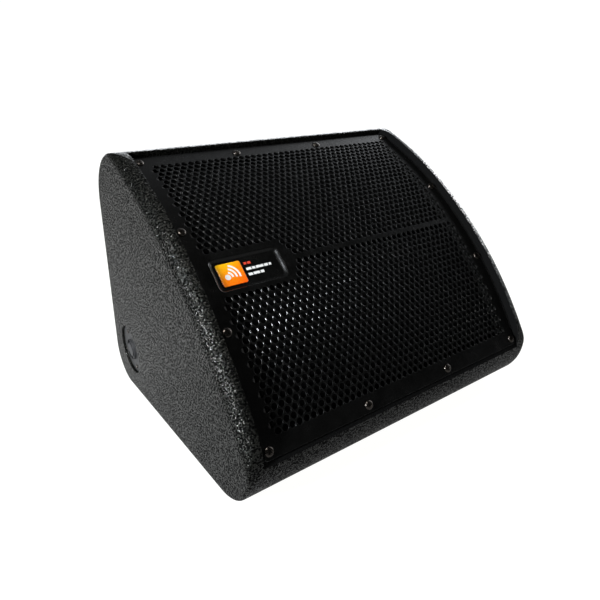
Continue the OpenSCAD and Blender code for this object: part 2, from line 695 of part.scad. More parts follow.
side_panel(-1);  // side_panel_left
side_panel(1);  // side_panel_right
bottom_panel();
back_panel();
top_rail();
front_rail();
rear_rail();
baffle();
baffle_battens();
grille_cleats();
grille();
grille_foam();
grille_screws();
badge_plate();
connector_plate(-1);  // connector_plate_left
connector_plate(1);  // connector_plate_right
speaker_socket(-1);  // speaker_socket_left
speaker_socket(1);  // speaker_socket_right
socket_contacts();
socket_screws();
plate_screws();
woofer_frame();
woofer_gasket();
woofer_bolts();
woofer_tee_nuts();
woofer_top_plate();
woofer_magnet();
woofer_yoke();
woofer_cone();
woofer_surround();
woofer_spider();
coil_former();
coil_winding();
woofer_terminals();
horn();
hf_yoke();
hf_magnet();
hf_top_plate();
hf_phase_plug();
hf_diaphragm();
hf_coil();
hf_suspension();
hf_mount_ring();
hf_cover();
hf_screws();
port_tubes();
crossover_board();
crossover_spacers();
crossover_screws();
inductors();
capacitors();
resistor();
input_cables();
driver_cables();
damping_pads();
handle_dish();
handle_grip();
handle_screws();
rubber_feet();
foot_screws();
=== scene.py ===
"""Looks of a stage monitor wedge: a curved perforated grille between two painted plywood sides.

Lengths are millimetres until a mesh is made, when they become metres, in the CAD part's own frame:
+X to the listener's right, +Y to the back, +Z up.
"""

import json
import math
import random

import bmesh
import bpy
from mathutils import Matrix, Vector, geometry


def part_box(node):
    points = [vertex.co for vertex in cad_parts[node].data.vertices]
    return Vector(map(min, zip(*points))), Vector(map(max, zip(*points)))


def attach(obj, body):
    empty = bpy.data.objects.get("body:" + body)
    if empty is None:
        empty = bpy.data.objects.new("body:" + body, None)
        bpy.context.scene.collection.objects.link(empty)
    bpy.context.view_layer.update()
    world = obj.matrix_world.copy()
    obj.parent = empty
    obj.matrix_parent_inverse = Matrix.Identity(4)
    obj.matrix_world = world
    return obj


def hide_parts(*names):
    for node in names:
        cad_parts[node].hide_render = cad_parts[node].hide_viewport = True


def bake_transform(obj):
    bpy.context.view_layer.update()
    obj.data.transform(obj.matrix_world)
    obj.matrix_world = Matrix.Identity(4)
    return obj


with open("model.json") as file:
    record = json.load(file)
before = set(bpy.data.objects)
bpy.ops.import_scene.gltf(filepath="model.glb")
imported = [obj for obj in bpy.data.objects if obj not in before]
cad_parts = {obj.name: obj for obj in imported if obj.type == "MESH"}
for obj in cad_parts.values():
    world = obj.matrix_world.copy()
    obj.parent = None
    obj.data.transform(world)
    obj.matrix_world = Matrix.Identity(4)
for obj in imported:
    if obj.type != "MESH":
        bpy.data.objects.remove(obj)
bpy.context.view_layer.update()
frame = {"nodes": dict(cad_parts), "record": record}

MM = 0.001

# ---- Driving dimensions, as in the CAD part ----
CAB_W = 455
PLY = 18
WALL = 15
ARC_R = 580
ARC_DROP = 161.7
BACK_GAP = 22.6
BACK_LEAN = math.radians(14.5)
TOP_R = 92
REAR_R = 46
TOE_R = 75
FRONT_ROUND = 17
RAIL_T = 20
EDGE_SPARE = 0.6
FOOT_H = 3
GRILLE_R = 570
SHEET = 1.5
GRILLE_HALF_W = 206.6
TILT = math.radians(45.8)
GRILLE_TOP_S = 200
GRILLE_BOTTOM_S = 199
END_SCREW_S = 190
MID_SCREW_S = 63.4
SIDE_SCREW_X = 200
TOP_GAP = 8
BOTTOM_GAP = 5
LEDGE_IN = 176
LEDGE_OUT = 206
BAFFLE_D = 520
PLATE_AHEAD = 158
PLATE_V = 70
PLATE_R = 37
PLATE_T = 2
PLATE_RECESS = 3.4
SEAT_HOLE_R = 20
HANDLE_V = 236
FOAM_R = 563
FOAM_T = 8
FOAM_HALF_W = 185
FOAM_TURN = 17.5
PAD_T = 12
PAD_V = 110
PAD_AHEAD = 330
FIT = 0.1
CONE_RIM_R = 123
CONE_RIM_Z = -12
SURROUND_R = 138
SPIDER_R = 39.9
SPIDER_Z = -61
SPIDER_RIM_R = 84
HF_BACK = -140
HF_RING_R = 22.1
HF_RIM_R = 27
HALF_W = CAB_W / 2
INNER_X = HALF_W - PLY

BACK_N = Vector((math.cos(BACK_LEAN), math.sin(BACK_LEAN)))
BACK_UP = Vector((-math.sin(BACK_LEAN), math.cos(BACK_LEAN)))


# ---- The side panel's outline, in the plane of Y and Z about the curve's centre ----
def unit(angle):
    return Vector((math.cos(angle), math.sin(angle)))


def bearing(point):
    return math.atan2(point[1], point[0])


def arc(centre, radius, start, end, steps):
    return [centre + radius * unit(start + (end - start) * i / steps) for i in range(steps + 1)]


def toe_centre(radius):
    rise = ARC_DROP + TOE_R
    return Vector((-math.sqrt((radius - TOE_R) ** 2 - rise**2), rise))


TOP_C = -(BACK_GAP + TOP_R) * BACK_N + math.sqrt(
    (ARC_R - TOP_R) ** 2 - (BACK_GAP + TOP_R) ** 2
) * BACK_UP
TOE_C = toe_centre(ARC_R)
REAR_C = Vector(
    ((-BACK_GAP - REAR_R - BACK_N[1] * (ARC_DROP + REAR_R)) / BACK_N[0], ARC_DROP + REAR_R)
)
ARC_Y = -(toe_centre(ARC_R + EDGE_SPARE)[0] - TOE_R + REAR_C[0] + REAR_R) / 2
ARC_Z = FOOT_H - ARC_DROP
MID = math.pi / 2 + TILT
TOE_END = 1.5 * math.pi


def outline(inset):
    """Closed loop of the side panel, anticlockwise from the bottom of the back."""
    return (
        arc(REAR_C, REAR_R - inset, -math.pi / 2, BACK_LEAN, 20)
        + arc(TOP_C, TOP_R - inset, BACK_LEAN, bearing(TOP_C), 44)
        + arc(Vector((0, 0)), ARC_R - inset, bearing(TOP_C), bearing(TOE_C), 110)[1:-1]
        + arc(TOE_C, TOE_R - inset, bearing(TOE_C), TOE_END, 52)
    )


# ---- Frames of reference ----
CENTRE = Matrix.Translation((0, ARC_Y, ARC_Z))


def on_grille(x, s):
    """Z points out of the grille at x, and at arc length s above its middle."""
    turn = Matrix.Rotation(TILT - s / GRILLE_R, 4, "X")
    return CENTRE @ turn @ Matrix.Translation((x, 0, GRILLE_R))


def on_baffle():
    return CENTRE @ Matrix.Rotation(TILT, 4, "X") @ Matrix.Translation((0, 0, BAFFLE_D))


def on_back(v):
    y = (-BACK_GAP - BACK_N[1] * (ARC_DROP + v)) / BACK_N[0]
    turn = Matrix.Rotation(math.pi, 4, "Z") @ Matrix.Rotation(math.pi / 2 - BACK_LEAN, 4, "X")
    return Matrix.Translation((0, ARC_Y + y, FOOT_H + v)) @ turn


def on_side(side):
    turn = Matrix.Rotation(side * math.pi / 2, 4, "Y")
    return Matrix.Translation((side * HALF_W, ARC_Y - PLATE_AHEAD, FOOT_H + PLATE_V)) @ turn


# ---- Mesh building ----
class Shape:
    """Points and faces gathered in millimetres, with a material number for each face."""

    def __init__(self):
        self.points = []
        self.faces = []
        self.paints = []

    def add(self, points, faces, place=None, paint=0):
        first = len(self.points)
        self.points += [place @ Vector(p) for p in points] if place else [Vector(p) for p in points]
        self.faces += [[first + i for i in face] for face in faces]
        self.paints += [paint] * len(faces)

    def rings(self, loops, place=None, paint=0, start=False, end=False):
        """Skins a list of loops of the same length. The faces look out of loops that run
        anticlockwise about the direction in which they are stacked."""
        count = len(loops[0])
        points = [p for loop in loops for p in loop]
        faces = []
        for row in range(len(loops) - 1):
            for i in range(count):
                a, b = row * count + i, row * count + (i + 1) % count
                faces.append([a, b, b + count, a + count])
        if start:
            faces.append(list(range(count))[::-1])
        if end:
            faces.append([(len(loops) - 1) * count + i for i in range(count)])
        self.add(points, faces, place, paint)

    def lathe(self, profile, place=None, steps=64, paint=0, start=False, end=False):
        """Turns (radius, height) pairs about Z."""
        loops = [circle(r, steps, z) for r, z in profile]
        self.rings(loops, place, paint, start, end)

    def fill(self, loops, place=None, paint=0, flip=False):
        """A flat face inside the first loop and outside the others, all at their own height."""
        flat = [[Vector((p[0], p[1], 0)) for p in loop] for loop in loops]
        points = [p for loop in loops for p in loop]
        faces = []
        for a, b, c in geometry.tessellate_polygon(flat):
            up = turns_left(points[a], points[b], points[c])
            faces.append([a, b, c] if up != flip else [a, c, b])
        self.add(points, faces, place, paint)

    def build(self, name, paints, replaces=(), body="cabinet", sharp=40):
        mesh = bpy.data.meshes.new(name)
        mesh.from_pydata([p * MM for p in self.points], [], self.faces)
        mesh.polygons.foreach_set("material_index", self.paints)
        mesh.shade_smooth()
        mesh.set_sharp_from_angle(angle=math.radians(sharp))
        for paint in paints:
            mesh.materials.append(paint)
        mesh.update()
        piece = bpy.data.objects.new(name, mesh)
        bpy.context.scene.collection.objects.link(piece)
        if body:
            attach(piece, body)
        if replaces:
            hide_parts(*replaces)
        return piece

    def stand_for(self, node, slot, sharp, *more_paints):
        """The piece that replaces a CAD node of the cabinet, with that slot's finish."""
        return self.build(node, [PAINTS[slot], *more_paints], [node], sharp=sharp)


def turns_left(a, b, c):
    return (b[0] - a[0]) * (c[1] - a[1]) - (b[1] - a[1]) * (c[0] - a[0]) > 0


def circle(radius, steps, z=0.0):
    return [(*(radius * unit(math.tau * i / steps)), z) for i in range(steps)]


def rounded_box(width, height, radius, z=0.0, steps=6):
    """Rectangle with round corners, anticlockwise."""
    loop = []
    for k, (sx, sy) in enumerate(((1, -1), (1, 1), (-1, 1), (-1, -1))):
        corner = Vector((sx * (width / 2 - radius), sy * (height / 2 - radius)))
        start = (k - 1) * math.pi / 2
        loop += [(*p, z) for p in arc(corner, radius, start, start + math.pi / 2, steps)]
    return loop


def shifted(loop, x, y=0.0):
    return [(p[0] + x, p[1] + y, p[2]) for p in loop]


def from_profile(points, x):
    """Points in the plane of Y and Z about the curve's centre, put at x."""
    return [(x, ARC_Y + p[0], ARC_Z + p[1]) for p in points]


# ---- Materials ----
THREADS_PER_MM = 1.2
TURNS_PER_MM = 0.9


class Nodes:
    """The node tree of a material or a world, under construction."""

    def __init__(self, owner):
        owner.use_nodes = True
        self.nodes = owner.node_tree.nodes
        self.links = owner.node_tree.links

    def node(self, kind, **inputs):
        made = self.nodes.new(kind)
        for key, value in inputs.items():
            self.join(value, made.inputs[key.replace("_", " ")])
        return made

    def join(self, value, socket):
        if isinstance(value, bpy.types.NodeSocket):
            self.links.new(value, socket)
        elif hasattr(value, "__len__") and len(value) == 3 and len(socket.default_value) == 4:
            socket.default_value = (*value, 1)
        else:
            socket.default_value = value

    def ramp(self, value, low, high, start=0.0, end=1.0):
        """Value from start..end turned into low..high, clamped."""
        made = self.node("ShaderNodeMapRange", Value=value, From_Min=start, From_Max=end)
        made.inputs["To Min"].default_value = low
        made.inputs["To Max"].default_value = high
        return made.outputs["Result"]

    def fade(self, value, start, end):
        """0 at start and 1 at end, with soft ends."""
        made = self.node("ShaderNodeMapRange", Value=value, From_Min=start, From_Max=end)
        made.interpolation_type = "SMOOTHSTEP"
        return made.outputs["Result"]

    def colours(self, value, *stops):
        """Colour ramp of (position, (r, g, b)) stops."""
        made = self.node("ShaderNodeValToRGB", Fac=value)
        ramp = made.color_ramp
        while len(ramp.elements) < len(stops):
            ramp.elements.new(0.5)
        for element, (position, colour) in zip(ramp.elements, stops):
            element.position = position
            element.color = (*colour, 1)
        return made.outputs["Color"]

    def math(self, operation, a, b=0.0):
        made = self.nodes.new("ShaderNodeMath")
        made.operation = operation
        self.join(a, made.inputs[0])
        self.join(b, made.inputs[1])
        return made.outputs[0]

    def mix(self, share, a, b):
        made = self.nodes.new("ShaderNodeMix")
        made.data_type = "RGBA"
        self.join(share, made.inputs["Factor"])
        for value, socket in ((a, made.inputs[6]), (b, made.inputs[7])):
            self.join(value, socket)
        return made.outputs[2]


class Paint(Nodes):
    """A node material, whose patterns lie in the piece's own space."""

    def __init__(self, name):
        self.material = bpy.data.materials.new(name)
        super().__init__(self.material)
        self.shader = self.nodes["Principled BSDF"]
        self.place = self.node("ShaderNodeTexCoord").outputs["Object"]

    def finish(self, **inputs):
        """Sets the shader's inputs, and returns the material."""
        for key, value in inputs.items():
            self.join(value, self.shader.inputs[key.replace("_", " ")])
        return self.material

    def noise(self, per_mm, detail=3, roughness=0.55, distortion=0.0, place=None):
        """Noise whose lumps are about 1 / per_mm millimetres across, from 0 to 1."""
        made = self.node(
            "ShaderNodeTexNoise",
            Scale=per_mm / MM,
            Detail=detail,
            Roughness=roughness,
            Distortion=distortion,
            Vector=place or self.place,
        )
        return made.outputs["Fac"]

    def cells(self, per_mm, place=None):
        """Distance to the nearest of points about 1 / per_mm millimetres apart."""
        made = self.node("ShaderNodeTexVoronoi", Scale=per_mm / MM, Vector=place or self.place)
        return made.outputs["Distance"]

    def wander(self, reach_mm, per_mm):
        """The place, moved about by a noise, so that a regular pattern gets uneven."""
        wobble = self.node("ShaderNodeTexNoise", Scale=per_mm / MM, Detail=1.0, Vector=self.place)
        moved = self.nodes.new("ShaderNodeVectorMath")
        moved.operation = "MULTIPLY_ADD"
        reach = Vector((1, 1, 1)) * reach_mm * MM
        for value, socket in zip((wobble.outputs["Color"], reach, self.place), moved.inputs):
            self.join(value, socket)
        return moved.outputs["Vector"]

    def stretch(self, scale):
        return self.node("ShaderNodeMapping", Vector=self.place, Scale=scale).outputs["Vector"]

    def bump(self, height, depth_mm):
        made = self.node("ShaderNodeBump", Strength=1.0, Distance=depth_mm * MM, Height=height)
        return made.outputs["Normal"]


def scaled(colour, share):
    return tuple(share * c for c in colour)


def cabinet_paint():
    """Grainy black cabinet paint: glossy crests of about 2 mm over dull pits, with painted shade in
    the pits.
    """
    p = Paint("cabinet_paint")
    grain = p.noise(0.48, 1, 0.5)
    away = p.cells(0.5, place=p.wander(1.2, 0.3))
    dome = p.math("MULTIPLY", away, away)
    patches = p.noise(0.02, 3)
    height = p.math("SUBTRACT", p.math("MULTIPLY", grain, 0.7), dome)
    crest_gloss_and_pit_shade = p.ramp(grain, 0, 1, 0.44, 0.6)
    tint = p.mix(patches, (0.006, 0.006, 0.005), (0.009, 0.009, 0.0078))
    return p.finish(
        # Colour: near black in the pits as painted shade, the paint's own tint on the crests.
        Base_Color=p.mix(crest_gloss_and_pit_shade, (0.0008, 0.0008, 0.0008), tint),
        Roughness=p.ramp(crest_gloss_and_pit_shade, 0.4, 0.1),
        Specular_IOR_Level=p.ramp(crest_gloss_and_pit_shade, 0.02, 0.28),
        Specular_Tint=(1, 1, 0.94),
        Normal=p.bump(height, 0.7),
    )


def grille_paint():
    """Black powder coat with a fine orange peel."""
    p = Paint("grille_paint")
    peel = p.noise(0.9, 2)
    dust = p.noise(0.05, 4, 0.7)
    dusty = p.ramp(dust, 0, 1, 0.35, 0.8)
    return p.finish(
        Base_Color=p.mix(dusty, (0.0012, 0.0012, 0.0011), (0.0022, 0.0022, 0.002)),
        Roughness=p.ramp(dust, 0.2, 0.3, 0.3, 0.75),
        Specular_IOR_Level=0.4,
        Normal=p.bump(peel, 0.1),
    )


def print_ink(name, colour):
    p = Paint(name)
    mottle = p.noise(1.2, 3)
    return p.finish(
        Base_Color=p.mix(mottle, scaled(colour, 0.8), colour),
        Roughness=p.ramp(mottle, 0.4, 0.6),
        Normal=p.bump(mottle, 0.03),
    )


def badge_gradient(low, high):
    """Glossy badge whose colour runs from yellow-orange at the top left to red-orange."""
    p = Paint("badge_orange")
    split = p.node("ShaderNodeSeparateXYZ", Vector=p.place)
    across = p.ramp(split.outputs["X"], 0, 1, low[0], high[0])
    up = p.ramp(split.outputs["Z"], 1, 0, low[2], high[2])
    slope = p.math("ADD", p.math("MULTIPLY", across, 0.35), p.math("MULTIPLY", up, 0.65))
    speck = p.noise(0.5, 3)
    slope = p.math("ADD", slope, p.ramp(speck, -0.03, 0.03))
    return p.finish(
        Base_Color=p.colours(
            slope, (0.0, (1.0, 0.56, 0.004)), (0.5, (1.0, 0.25, 0.002)), (1.0, (1.0, 0.1, 0.002))
        ),
        Roughness=p.ramp(speck, 0.22, 0.34),
        Coat_Weight=0.5,
        Normal=p.bump(speck, 0.02),
    )


def moulded_plastic(name, colour, roughness=0.45):
    p = Paint(name)
    grain = p.noise(2.2, 3)
    smudge = p.noise(0.06, 3)
    return p.finish(
        Base_Color=p.mix(p.ramp(smudge, 0, 1, 0.35, 0.75), colour, scaled(colour, 1.7)),
        Roughness=p.ramp(smudge, roughness - 0.08, roughness + 0.12, 0.3, 0.7),
        Normal=p.bump(grain, 0.05),
    )


def metal(name, colour, roughness):
    p = Paint(name)
    streak = p.noise(0.8, 4, 0.6)
    stain = p.noise(0.09, 3)
    return p.finish(
        Base_Color=p.mix(p.ramp(stain, 0, 1, 0.35, 0.7), scaled(colour, 0.72), colour),
        Metallic=1.0,
        Roughness=p.ramp(streak, roughness - 0.1, roughness + 0.12, 0.3, 0.7),
        Normal=p.bump(streak, 0.03),
    )


def coated_steel(name, colour, roughness):
    """Semi-gloss painted metal."""
    p = Paint(name)
    peel = p.noise(1.1, 2)
    smudge = p.noise(0.07, 3)
    return p.finish(
        Base_Color=p.mix(p.ramp(smudge, 0, 1, 0.3, 0.75), colour, scaled(colour, 1.6)),
        Roughness=p.ramp(smudge, roughness - 0.07, roughness + 0.1, 0.3, 0.7),
        Normal=p.bump(peel, 0.06),
    )


def plywood():
    p = Paint("raw_plywood")
    grain = p.noise(0.25, 4, 0.6, 0.4, place=p.stretch((0.12, 1, 1)))
    fine = p.noise(1.8, 3)
    return p.finish(
        Base_Color=p.colours(grain, (0.3, (0.27, 0.16, 0.075)), (0.7, (0.5, 0.33, 0.18))),
        Roughness=p.ramp(fine, 0.55, 0.8),
        Normal=p.bump(grain, 0.12),
    )


def dead_black(name, colour):
    """Pored surface without gloss, darker in its pores as painted shade; used for foam, and as a
    painted shade on the faces inside a rebate.
    """
    p = Paint(name)
    pore_relief_and_shade = p.cells(1.3)
    clumps = p.noise(0.3, 3)
    return p.finish(
        # Colour: darker in the pores, a painted shade.
        Base_Color=p.mix(p.ramp(pore_relief_and_shade, 0, 1, 0.1, 0.5), scaled(colour, 0.3), colour),
        Roughness=p.ramp(clumps, 0.85, 1.0),
        Specular_IOR_Level=0.05,
        Normal=p.bump(pore_relief_and_shade, 0.5),
    )


def woven(name, colour):
    """Cloth of crossed threads."""
    p = Paint(name)
    split = p.node("ShaderNodeSeparateXYZ", Vector=p.place)
    threads = [
        p.math("SINE", p.math("MULTIPLY", split.outputs[axis], THREADS_PER_MM * math.tau / MM))
        for axis in ("X", "Y", "Z")
    ]
    weave = p.math("ADD", p.math("MULTIPLY", threads[0], threads[1]), threads[2])
    patches = p.noise(0.1, 3)
    return p.finish(
        Base_Color=p.mix(p.ramp(weave, 0, 1, -1.5, 1.5), scaled(colour, 0.65), colour),
        Roughness=p.ramp(patches, 0.75, 0.95),
        Sheen_Weight=0.2,
        Normal=p.bump(weave, 0.08),
    )


def pulp_paper(name, colour):
    p = Paint(name)
    fibres = p.noise(0.9, 5, 0.7, 1.2)
    blotch = p.noise(0.08, 3)
    return p.finish(
        Base_Color=p.mix(p.ramp(fibres, 0, 1, 0.35, 0.7), colour, scaled(colour, 2.0)),
        Roughness=p.ramp(blotch, 0.65, 0.9),
        Normal=p.bump(fibres, 0.15),
    )


def stone_ferrite():
    p = Paint("ferrite")
    grain = p.noise(1.5, 5, 0.65)
    chips = p.cells(0.15)
    return p.finish(
        Base_Color=p.colours(grain, (0.35, (0.02, 0.02, 0.022)), (0.7, (0.05, 0.05, 0.053))),
        Roughness=p.ramp(chips, 0.6, 0.85),
        Normal=p.bump(grain, 0.08),
    )


def enamelled_wire(name):
    """Copper winding, with one groove for each turn along its axis."""
    p = Paint(name)
    along = p.node("ShaderNodeSeparateXYZ", Vector=p.place).outputs["Z"]
    turns = p.math("SINE", p.math("MULTIPLY", along, TURNS_PER_MM * math.tau / MM))
    tint = p.noise(0.2, 3)
    return p.finish(
        Base_Color=p.mix(tint, (0.45, 0.13, 0.04), (0.72, 0.28, 0.1)),
        Metallic=0.9,
        Roughness=p.ramp(turns, 0.25, 0.45, -1, 1),
        Normal=p.bump(turns, 0.15),
    )


def circuit_board():
    """Green laminate with lighter copper tracks under the lacquer."""
    p = Paint("circuit_board")
    tracks = p.node("ShaderNodeTexBrick", Vector=p.place, Scale=60.0)
    tracks.inputs["Mortar Size"].default_value = 0.08
    tracks.offset = 0.35
    weave = p.noise(1.5, 3)
    track = p.ramp(tracks.outputs["Fac"], 0, 1)
    return p.finish(
        Base_Color=p.mix(track, (0.015, 0.12, 0.035), (0.05, 0.22, 0.07)),
        Roughness=p.ramp(weave, 0.25, 0.45),
        Coat_Weight=0.3,
        Normal=p.bump(p.math("ADD", track, p.math("MULTIPLY", weave, 0.2)), 0.06),
    )


def ceramic():
    p = Paint("resistor_ceramic")
    pits = p.noise(1.4, 4)
    stain = p.noise(0.1, 3)
    return p.finish(
        Base_Color=p.mix(stain, (0.55, 0.53, 0.47), (0.75, 0.73, 0.67)),
        Roughness=p.ramp(pits, 0.6, 0.85),
        Normal=p.bump(pits, 0.1),
    )


def felt():
    p = Paint("felt")
    fibres = p.noise(1.1, 5, 0.75, 2.0)
    clumps = p.noise(0.12, 4)
    return p.finish(
        Base_Color=p.mix(clumps, (0.2, 0.2, 0.19), (0.42, 0.42, 0.4)),
        Roughness=p.ramp(fibres, 0.9, 1.0),
        Sheen_Weight=0.4,
        Normal=p.bump(fibres, 0.6),
    )


def rubber(name, colour):
    p = Paint(name)
    grain = p.noise(1.8, 3)
    dust = p.noise(0.1, 4, 0.7)
    grey = tuple(c + 0.025 for c in colour)
    return p.finish(
        Base_Color=p.mix(p.ramp(dust, 0, 1, 0.45, 0.8), colour, grey),
        Roughness=p.ramp(dust, 0.6, 0.85),
        Normal=p.bump(grain, 0.06),
    )


PAINTS = {
    "cabinet_paint": cabinet_paint(),
    "raw_wood": plywood(),
    "baffle_paint": pulp_paper("baffle_paint", (0.012, 0.012, 0.012)),
    "grille_steel": grille_paint(),
    "foam": dead_black("foam", (0.0025, 0.0025, 0.0027)),
    "dark_steel": metal("dark_steel", (0.1, 0.088, 0.078), 0.25),
    "zinc_steel": metal("zinc_steel", (0.62, 0.61, 0.57), 0.35),
    "plate_black": coated_steel("plate_black", (0.012, 0.012, 0.012), 0.42),
    "black_plastic": moulded_plastic("black_plastic", (0.014, 0.014, 0.015)),
    "contact_brass": metal("contact_brass", (0.8, 0.58, 0.25), 0.25),
    "basket_steel": coated_steel("basket_steel", (0.03, 0.03, 0.03), 0.4),
    "gasket": felt(),
    "pole_steel": metal("pole_steel", (0.5, 0.5, 0.5), 0.3),
    "ferrite": stone_ferrite(),
    "cone_paper": pulp_paper("cone_paper", (0.016, 0.016, 0.016)),
    "surround_cloth": woven("surround_cloth", (0.03, 0.03, 0.03)),
    "spider_cloth": woven("spider_cloth", (0.6, 0.42, 0.12)),
    "coil_former": pulp_paper("coil_former", (0.3, 0.25, 0.12)),
    "copper": enamelled_wire("copper"),
    "dome_metal": metal("dome_metal", (0.75, 0.75, 0.77), 0.25),
    "board_green": circuit_board(),
    "spacer_nylon": moulded_plastic("spacer_nylon", (0.4, 0.4, 0.38)),
    "capacitor_film": moulded_plastic("capacitor_film", (0.5, 0.32, 0.04), 0.3),
    "resistor_ceramic": ceramic(),
    "cable_black": rubber("cable_black", (0.012, 0.012, 0.012)),
    "cable_red": rubber("cable_red", (0.3, 0.012, 0.01)),
    "felt": felt(),
    "foot_rubber": rubber("foot_rubber", (0.014, 0.014, 0.014)),
}
badge_low, badge_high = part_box("badge_plate")
PAINTS["badge_orange"] = badge_gradient(badge_low, badge_high)
WHITE_INK = print_ink("white_ink", (0.8, 0.8, 0.78))
RED_INK = print_ink("red_ink", (0.7, 0.05, 0.02))
# Dead black material for the ledges behind the grille's ends and the side panels' inner faces: a
# painted shade, darker and duller than the cabinet paint where those faces lie in shade.
REBATE_SHADE = dead_black("rebate_painted_shade", (0.004, 0.004, 0.004))


# ---- Side panels ----
EDGE_ROUND = 3.0
RIM_INSETS = (0, 0.25, 0.7, 1.3, 2, 3, 4.2, 5.6, 7.2, 9, 11, 13.2, 15.2, 16.6, 17.6, 20)


def quarter_drop(radius, inset):
    """How far a round edge of that radius falls below the face, at an inset from the edge."""
    short = radius - min(max(inset, 0), radius)
    return radius - math.sqrt(radius**2 - short**2)


def rim_loop(side, inset):
    """One contour of the panel's outer face, sunk by the front and the small round-overs."""
    loop = []
    for p in outline(inset):
        front = quarter_drop(FRONT_ROUND, ARC_R - p.length)
        sink = max(front, quarter_drop(EDGE_ROUND, inset))
        loop += from_profile([p], side * (HALF_W - sink))
    return loop


def seat_loop(side, radius, depth):
    place = on_side(side)
    loop = [place @ Vector(p) for p in circle(radius, 96, -depth)]
    return loop if side > 0 else loop[::-1]


def side_panel(side, name):
    shape = Shape()
    loops = [from_profile(outline(0), side * INNER_X)] + [rim_loop(side, d) for d in RIM_INSETS]
    floor = PLATE_RECESS + PLATE_T
    seat = [
        seat_loop(side, r, depth)
        for r, depth in (
            (PLATE_R + 0.9, 0), (PLATE_R + 0.5, 0.15), (PLATE_R + 0.2, 0.6), (PLATE_R, floor),
            (SEAT_HOLE_R, floor), (SEAT_HOLE_R, PLY),
        )
    ]
    flip = side < 0
    ordered = [loop[::-1] if flip else loop for loop in loops]
    shape.rings(ordered)
    shape.rings(seat)
    across = Matrix(((0, 0, 1, 0), (1, 0, 0, 0), (0, 1, 0, 0), (0, 0, 0, 1)))
    flat = across.inverted()
    # The outer face takes material 0; the inner face takes material 1, the rebate's painted shade.
    faces = ((loops[-1], seat[0], not flip, 0), (loops[0], seat[-1], flip, 1))
    for outer, hole, up, paint in faces:
        pair = [[flat @ Vector(p) for p in loop] for loop in (outer, hole)]
        shape.fill(pair, across, paint, not up)
    shape.stand_for(name, "cabinet_paint", 50, REBATE_SHADE)


# ---- Boards and rails between the panels ----
def board(shape, section):
    """A board between the side panels with that section, which is anticlockwise seen from -X."""
    left, right = from_profile(section, -INNER_X), from_profile(section, INNER_X)
    shape.rings([left, right], start=True, end=True)


def angle_of_ray(centre, radius, ray):
    """Angle about centre at which its circle crosses the ray from the origin at that bearing."""
    along = unit(ray)
    reach = along.dot(centre)
    offset = centre - reach * along
    distance = reach + math.sqrt(radius**2 - offset.length_squared)
    return bearing(distance * along - centre) % math.tau


def rail_section(centre, radius, start, end, ray_first, ray_last):
    """Curved board RAIL_T thick, with its free end cut along a ray and its edges eased."""
    ease = 1.2
    rings = []
    for r in (radius, radius - RAIL_T):
        first = angle_of_ray(centre, r, start) if ray_first else start
        last = angle_of_ray(centre, r, end) if ray_last else end
        if r == radius:
            first += ease / r if ray_first else 0
            last -= ease / r if ray_last else 0
        rings.append(arc(centre, r, first, last, 40))
    outer, inner = rings
    cut = []
    for at_end, point in ((ray_first, outer[0]), (ray_last, outer[-1])):
        cut.append([point - ease * (point - centre).normalized()] if at_end else [])
    eased_first = [rotate_about(cut[0][0], centre, -ease / radius)] if cut[0] else []
    eased_last = [rotate_about(cut[1][0], centre, ease / radius)] if cut[1] else []
    return eased_first + outer + eased_last + inner[::-1]


def rotate_about(point, centre, angle):
    turned = Matrix.Rotation(angle, 2) @ (point - centre)
    return centre + turned


def top_rail():
    end = MID - (GRILLE_TOP_S + TOP_GAP) / GRILLE_R
    shape = Shape()
    board(shape, rail_section(TOP_C, TOP_R, BACK_LEAN, end, False, True))
    # The ledge takes material 1, the rebate's painted shade.
    shape.add(*ledge(1), paint=1)
    shape.stand_for("top_rail", "cabinet_paint", 35, REBATE_SHADE)


def front_rail():
    start = MID + (GRILLE_BOTTOM_S + BOTTOM_GAP) / GRILLE_R
    shape = Shape()
    board(shape, rail_section(TOE_C, TOE_R, start, TOE_END, True, False))
    # The ledge takes material 1, the rebate's painted shade.
    shape.add(*ledge(-1), paint=1)
    shape.stand_for("front_rail", "cabinet_paint", 35, REBATE_SHADE)


def ledge(end):
    """Square strip behind one end of the grille, which its end screws bite into."""
    skin = GRILLE_R - SHEET
    inner, outer = LEDGE_IN, LEDGE_OUT - 6
    corners = [
        (BAFFLE_D, inner), (math.sqrt(skin**2 - inner**2) - 0.1, inner),
        (math.sqrt(skin**2 - outer**2) - 0.1, outer), (BAFFLE_D, outer),
    ]
    along, up = unit(MID), unit(MID - math.pi / 2)
    section = [along * d + up * end * u for d, u in corners]
    points = from_profile(section, -INNER_X) + from_profile(section, INNER_X)
    faces = [[0, 1, 5, 4], [1, 2, 6, 5], [2, 3, 7, 6], [3, 0, 4, 7], [3, 2, 1, 0], [4, 5, 6, 7]]
    return points, faces if end < 0 else [face[::-1] for face in faces]


def rear_rail():
    shape = Shape()
    section = arc(REAR_C, REAR_R, -math.pi / 2, BACK_LEAN, 20)
    section += arc(REAR_C, REAR_R - RAIL_T, BACK_LEAN, -math.pi / 2, 20)
    board(shape, section)
    shape.stand_for("rear_rail", "cabinet_paint", 35)


# ---- Grille ----
HOLE_PITCH = 9.06
ROW_PITCH = 8.06
ROWS = 22
ROW_HOLES = 42
FIRST_UP = 8.3
FIRST_DOWN = -5.3
HOLE_FLAT = 3.6
HOLE_EASE = 0.4
HOLE_CORNER = 0.22
POCKET_X = -189
POCKET_W = 89
POCKET_H = 42
POCKET_D = 3.5
POCKET_WALL = 4.6
POCKET_ROWS = 3
POCKET_BORDER = 2.5
EDGE_STEP = 8.0


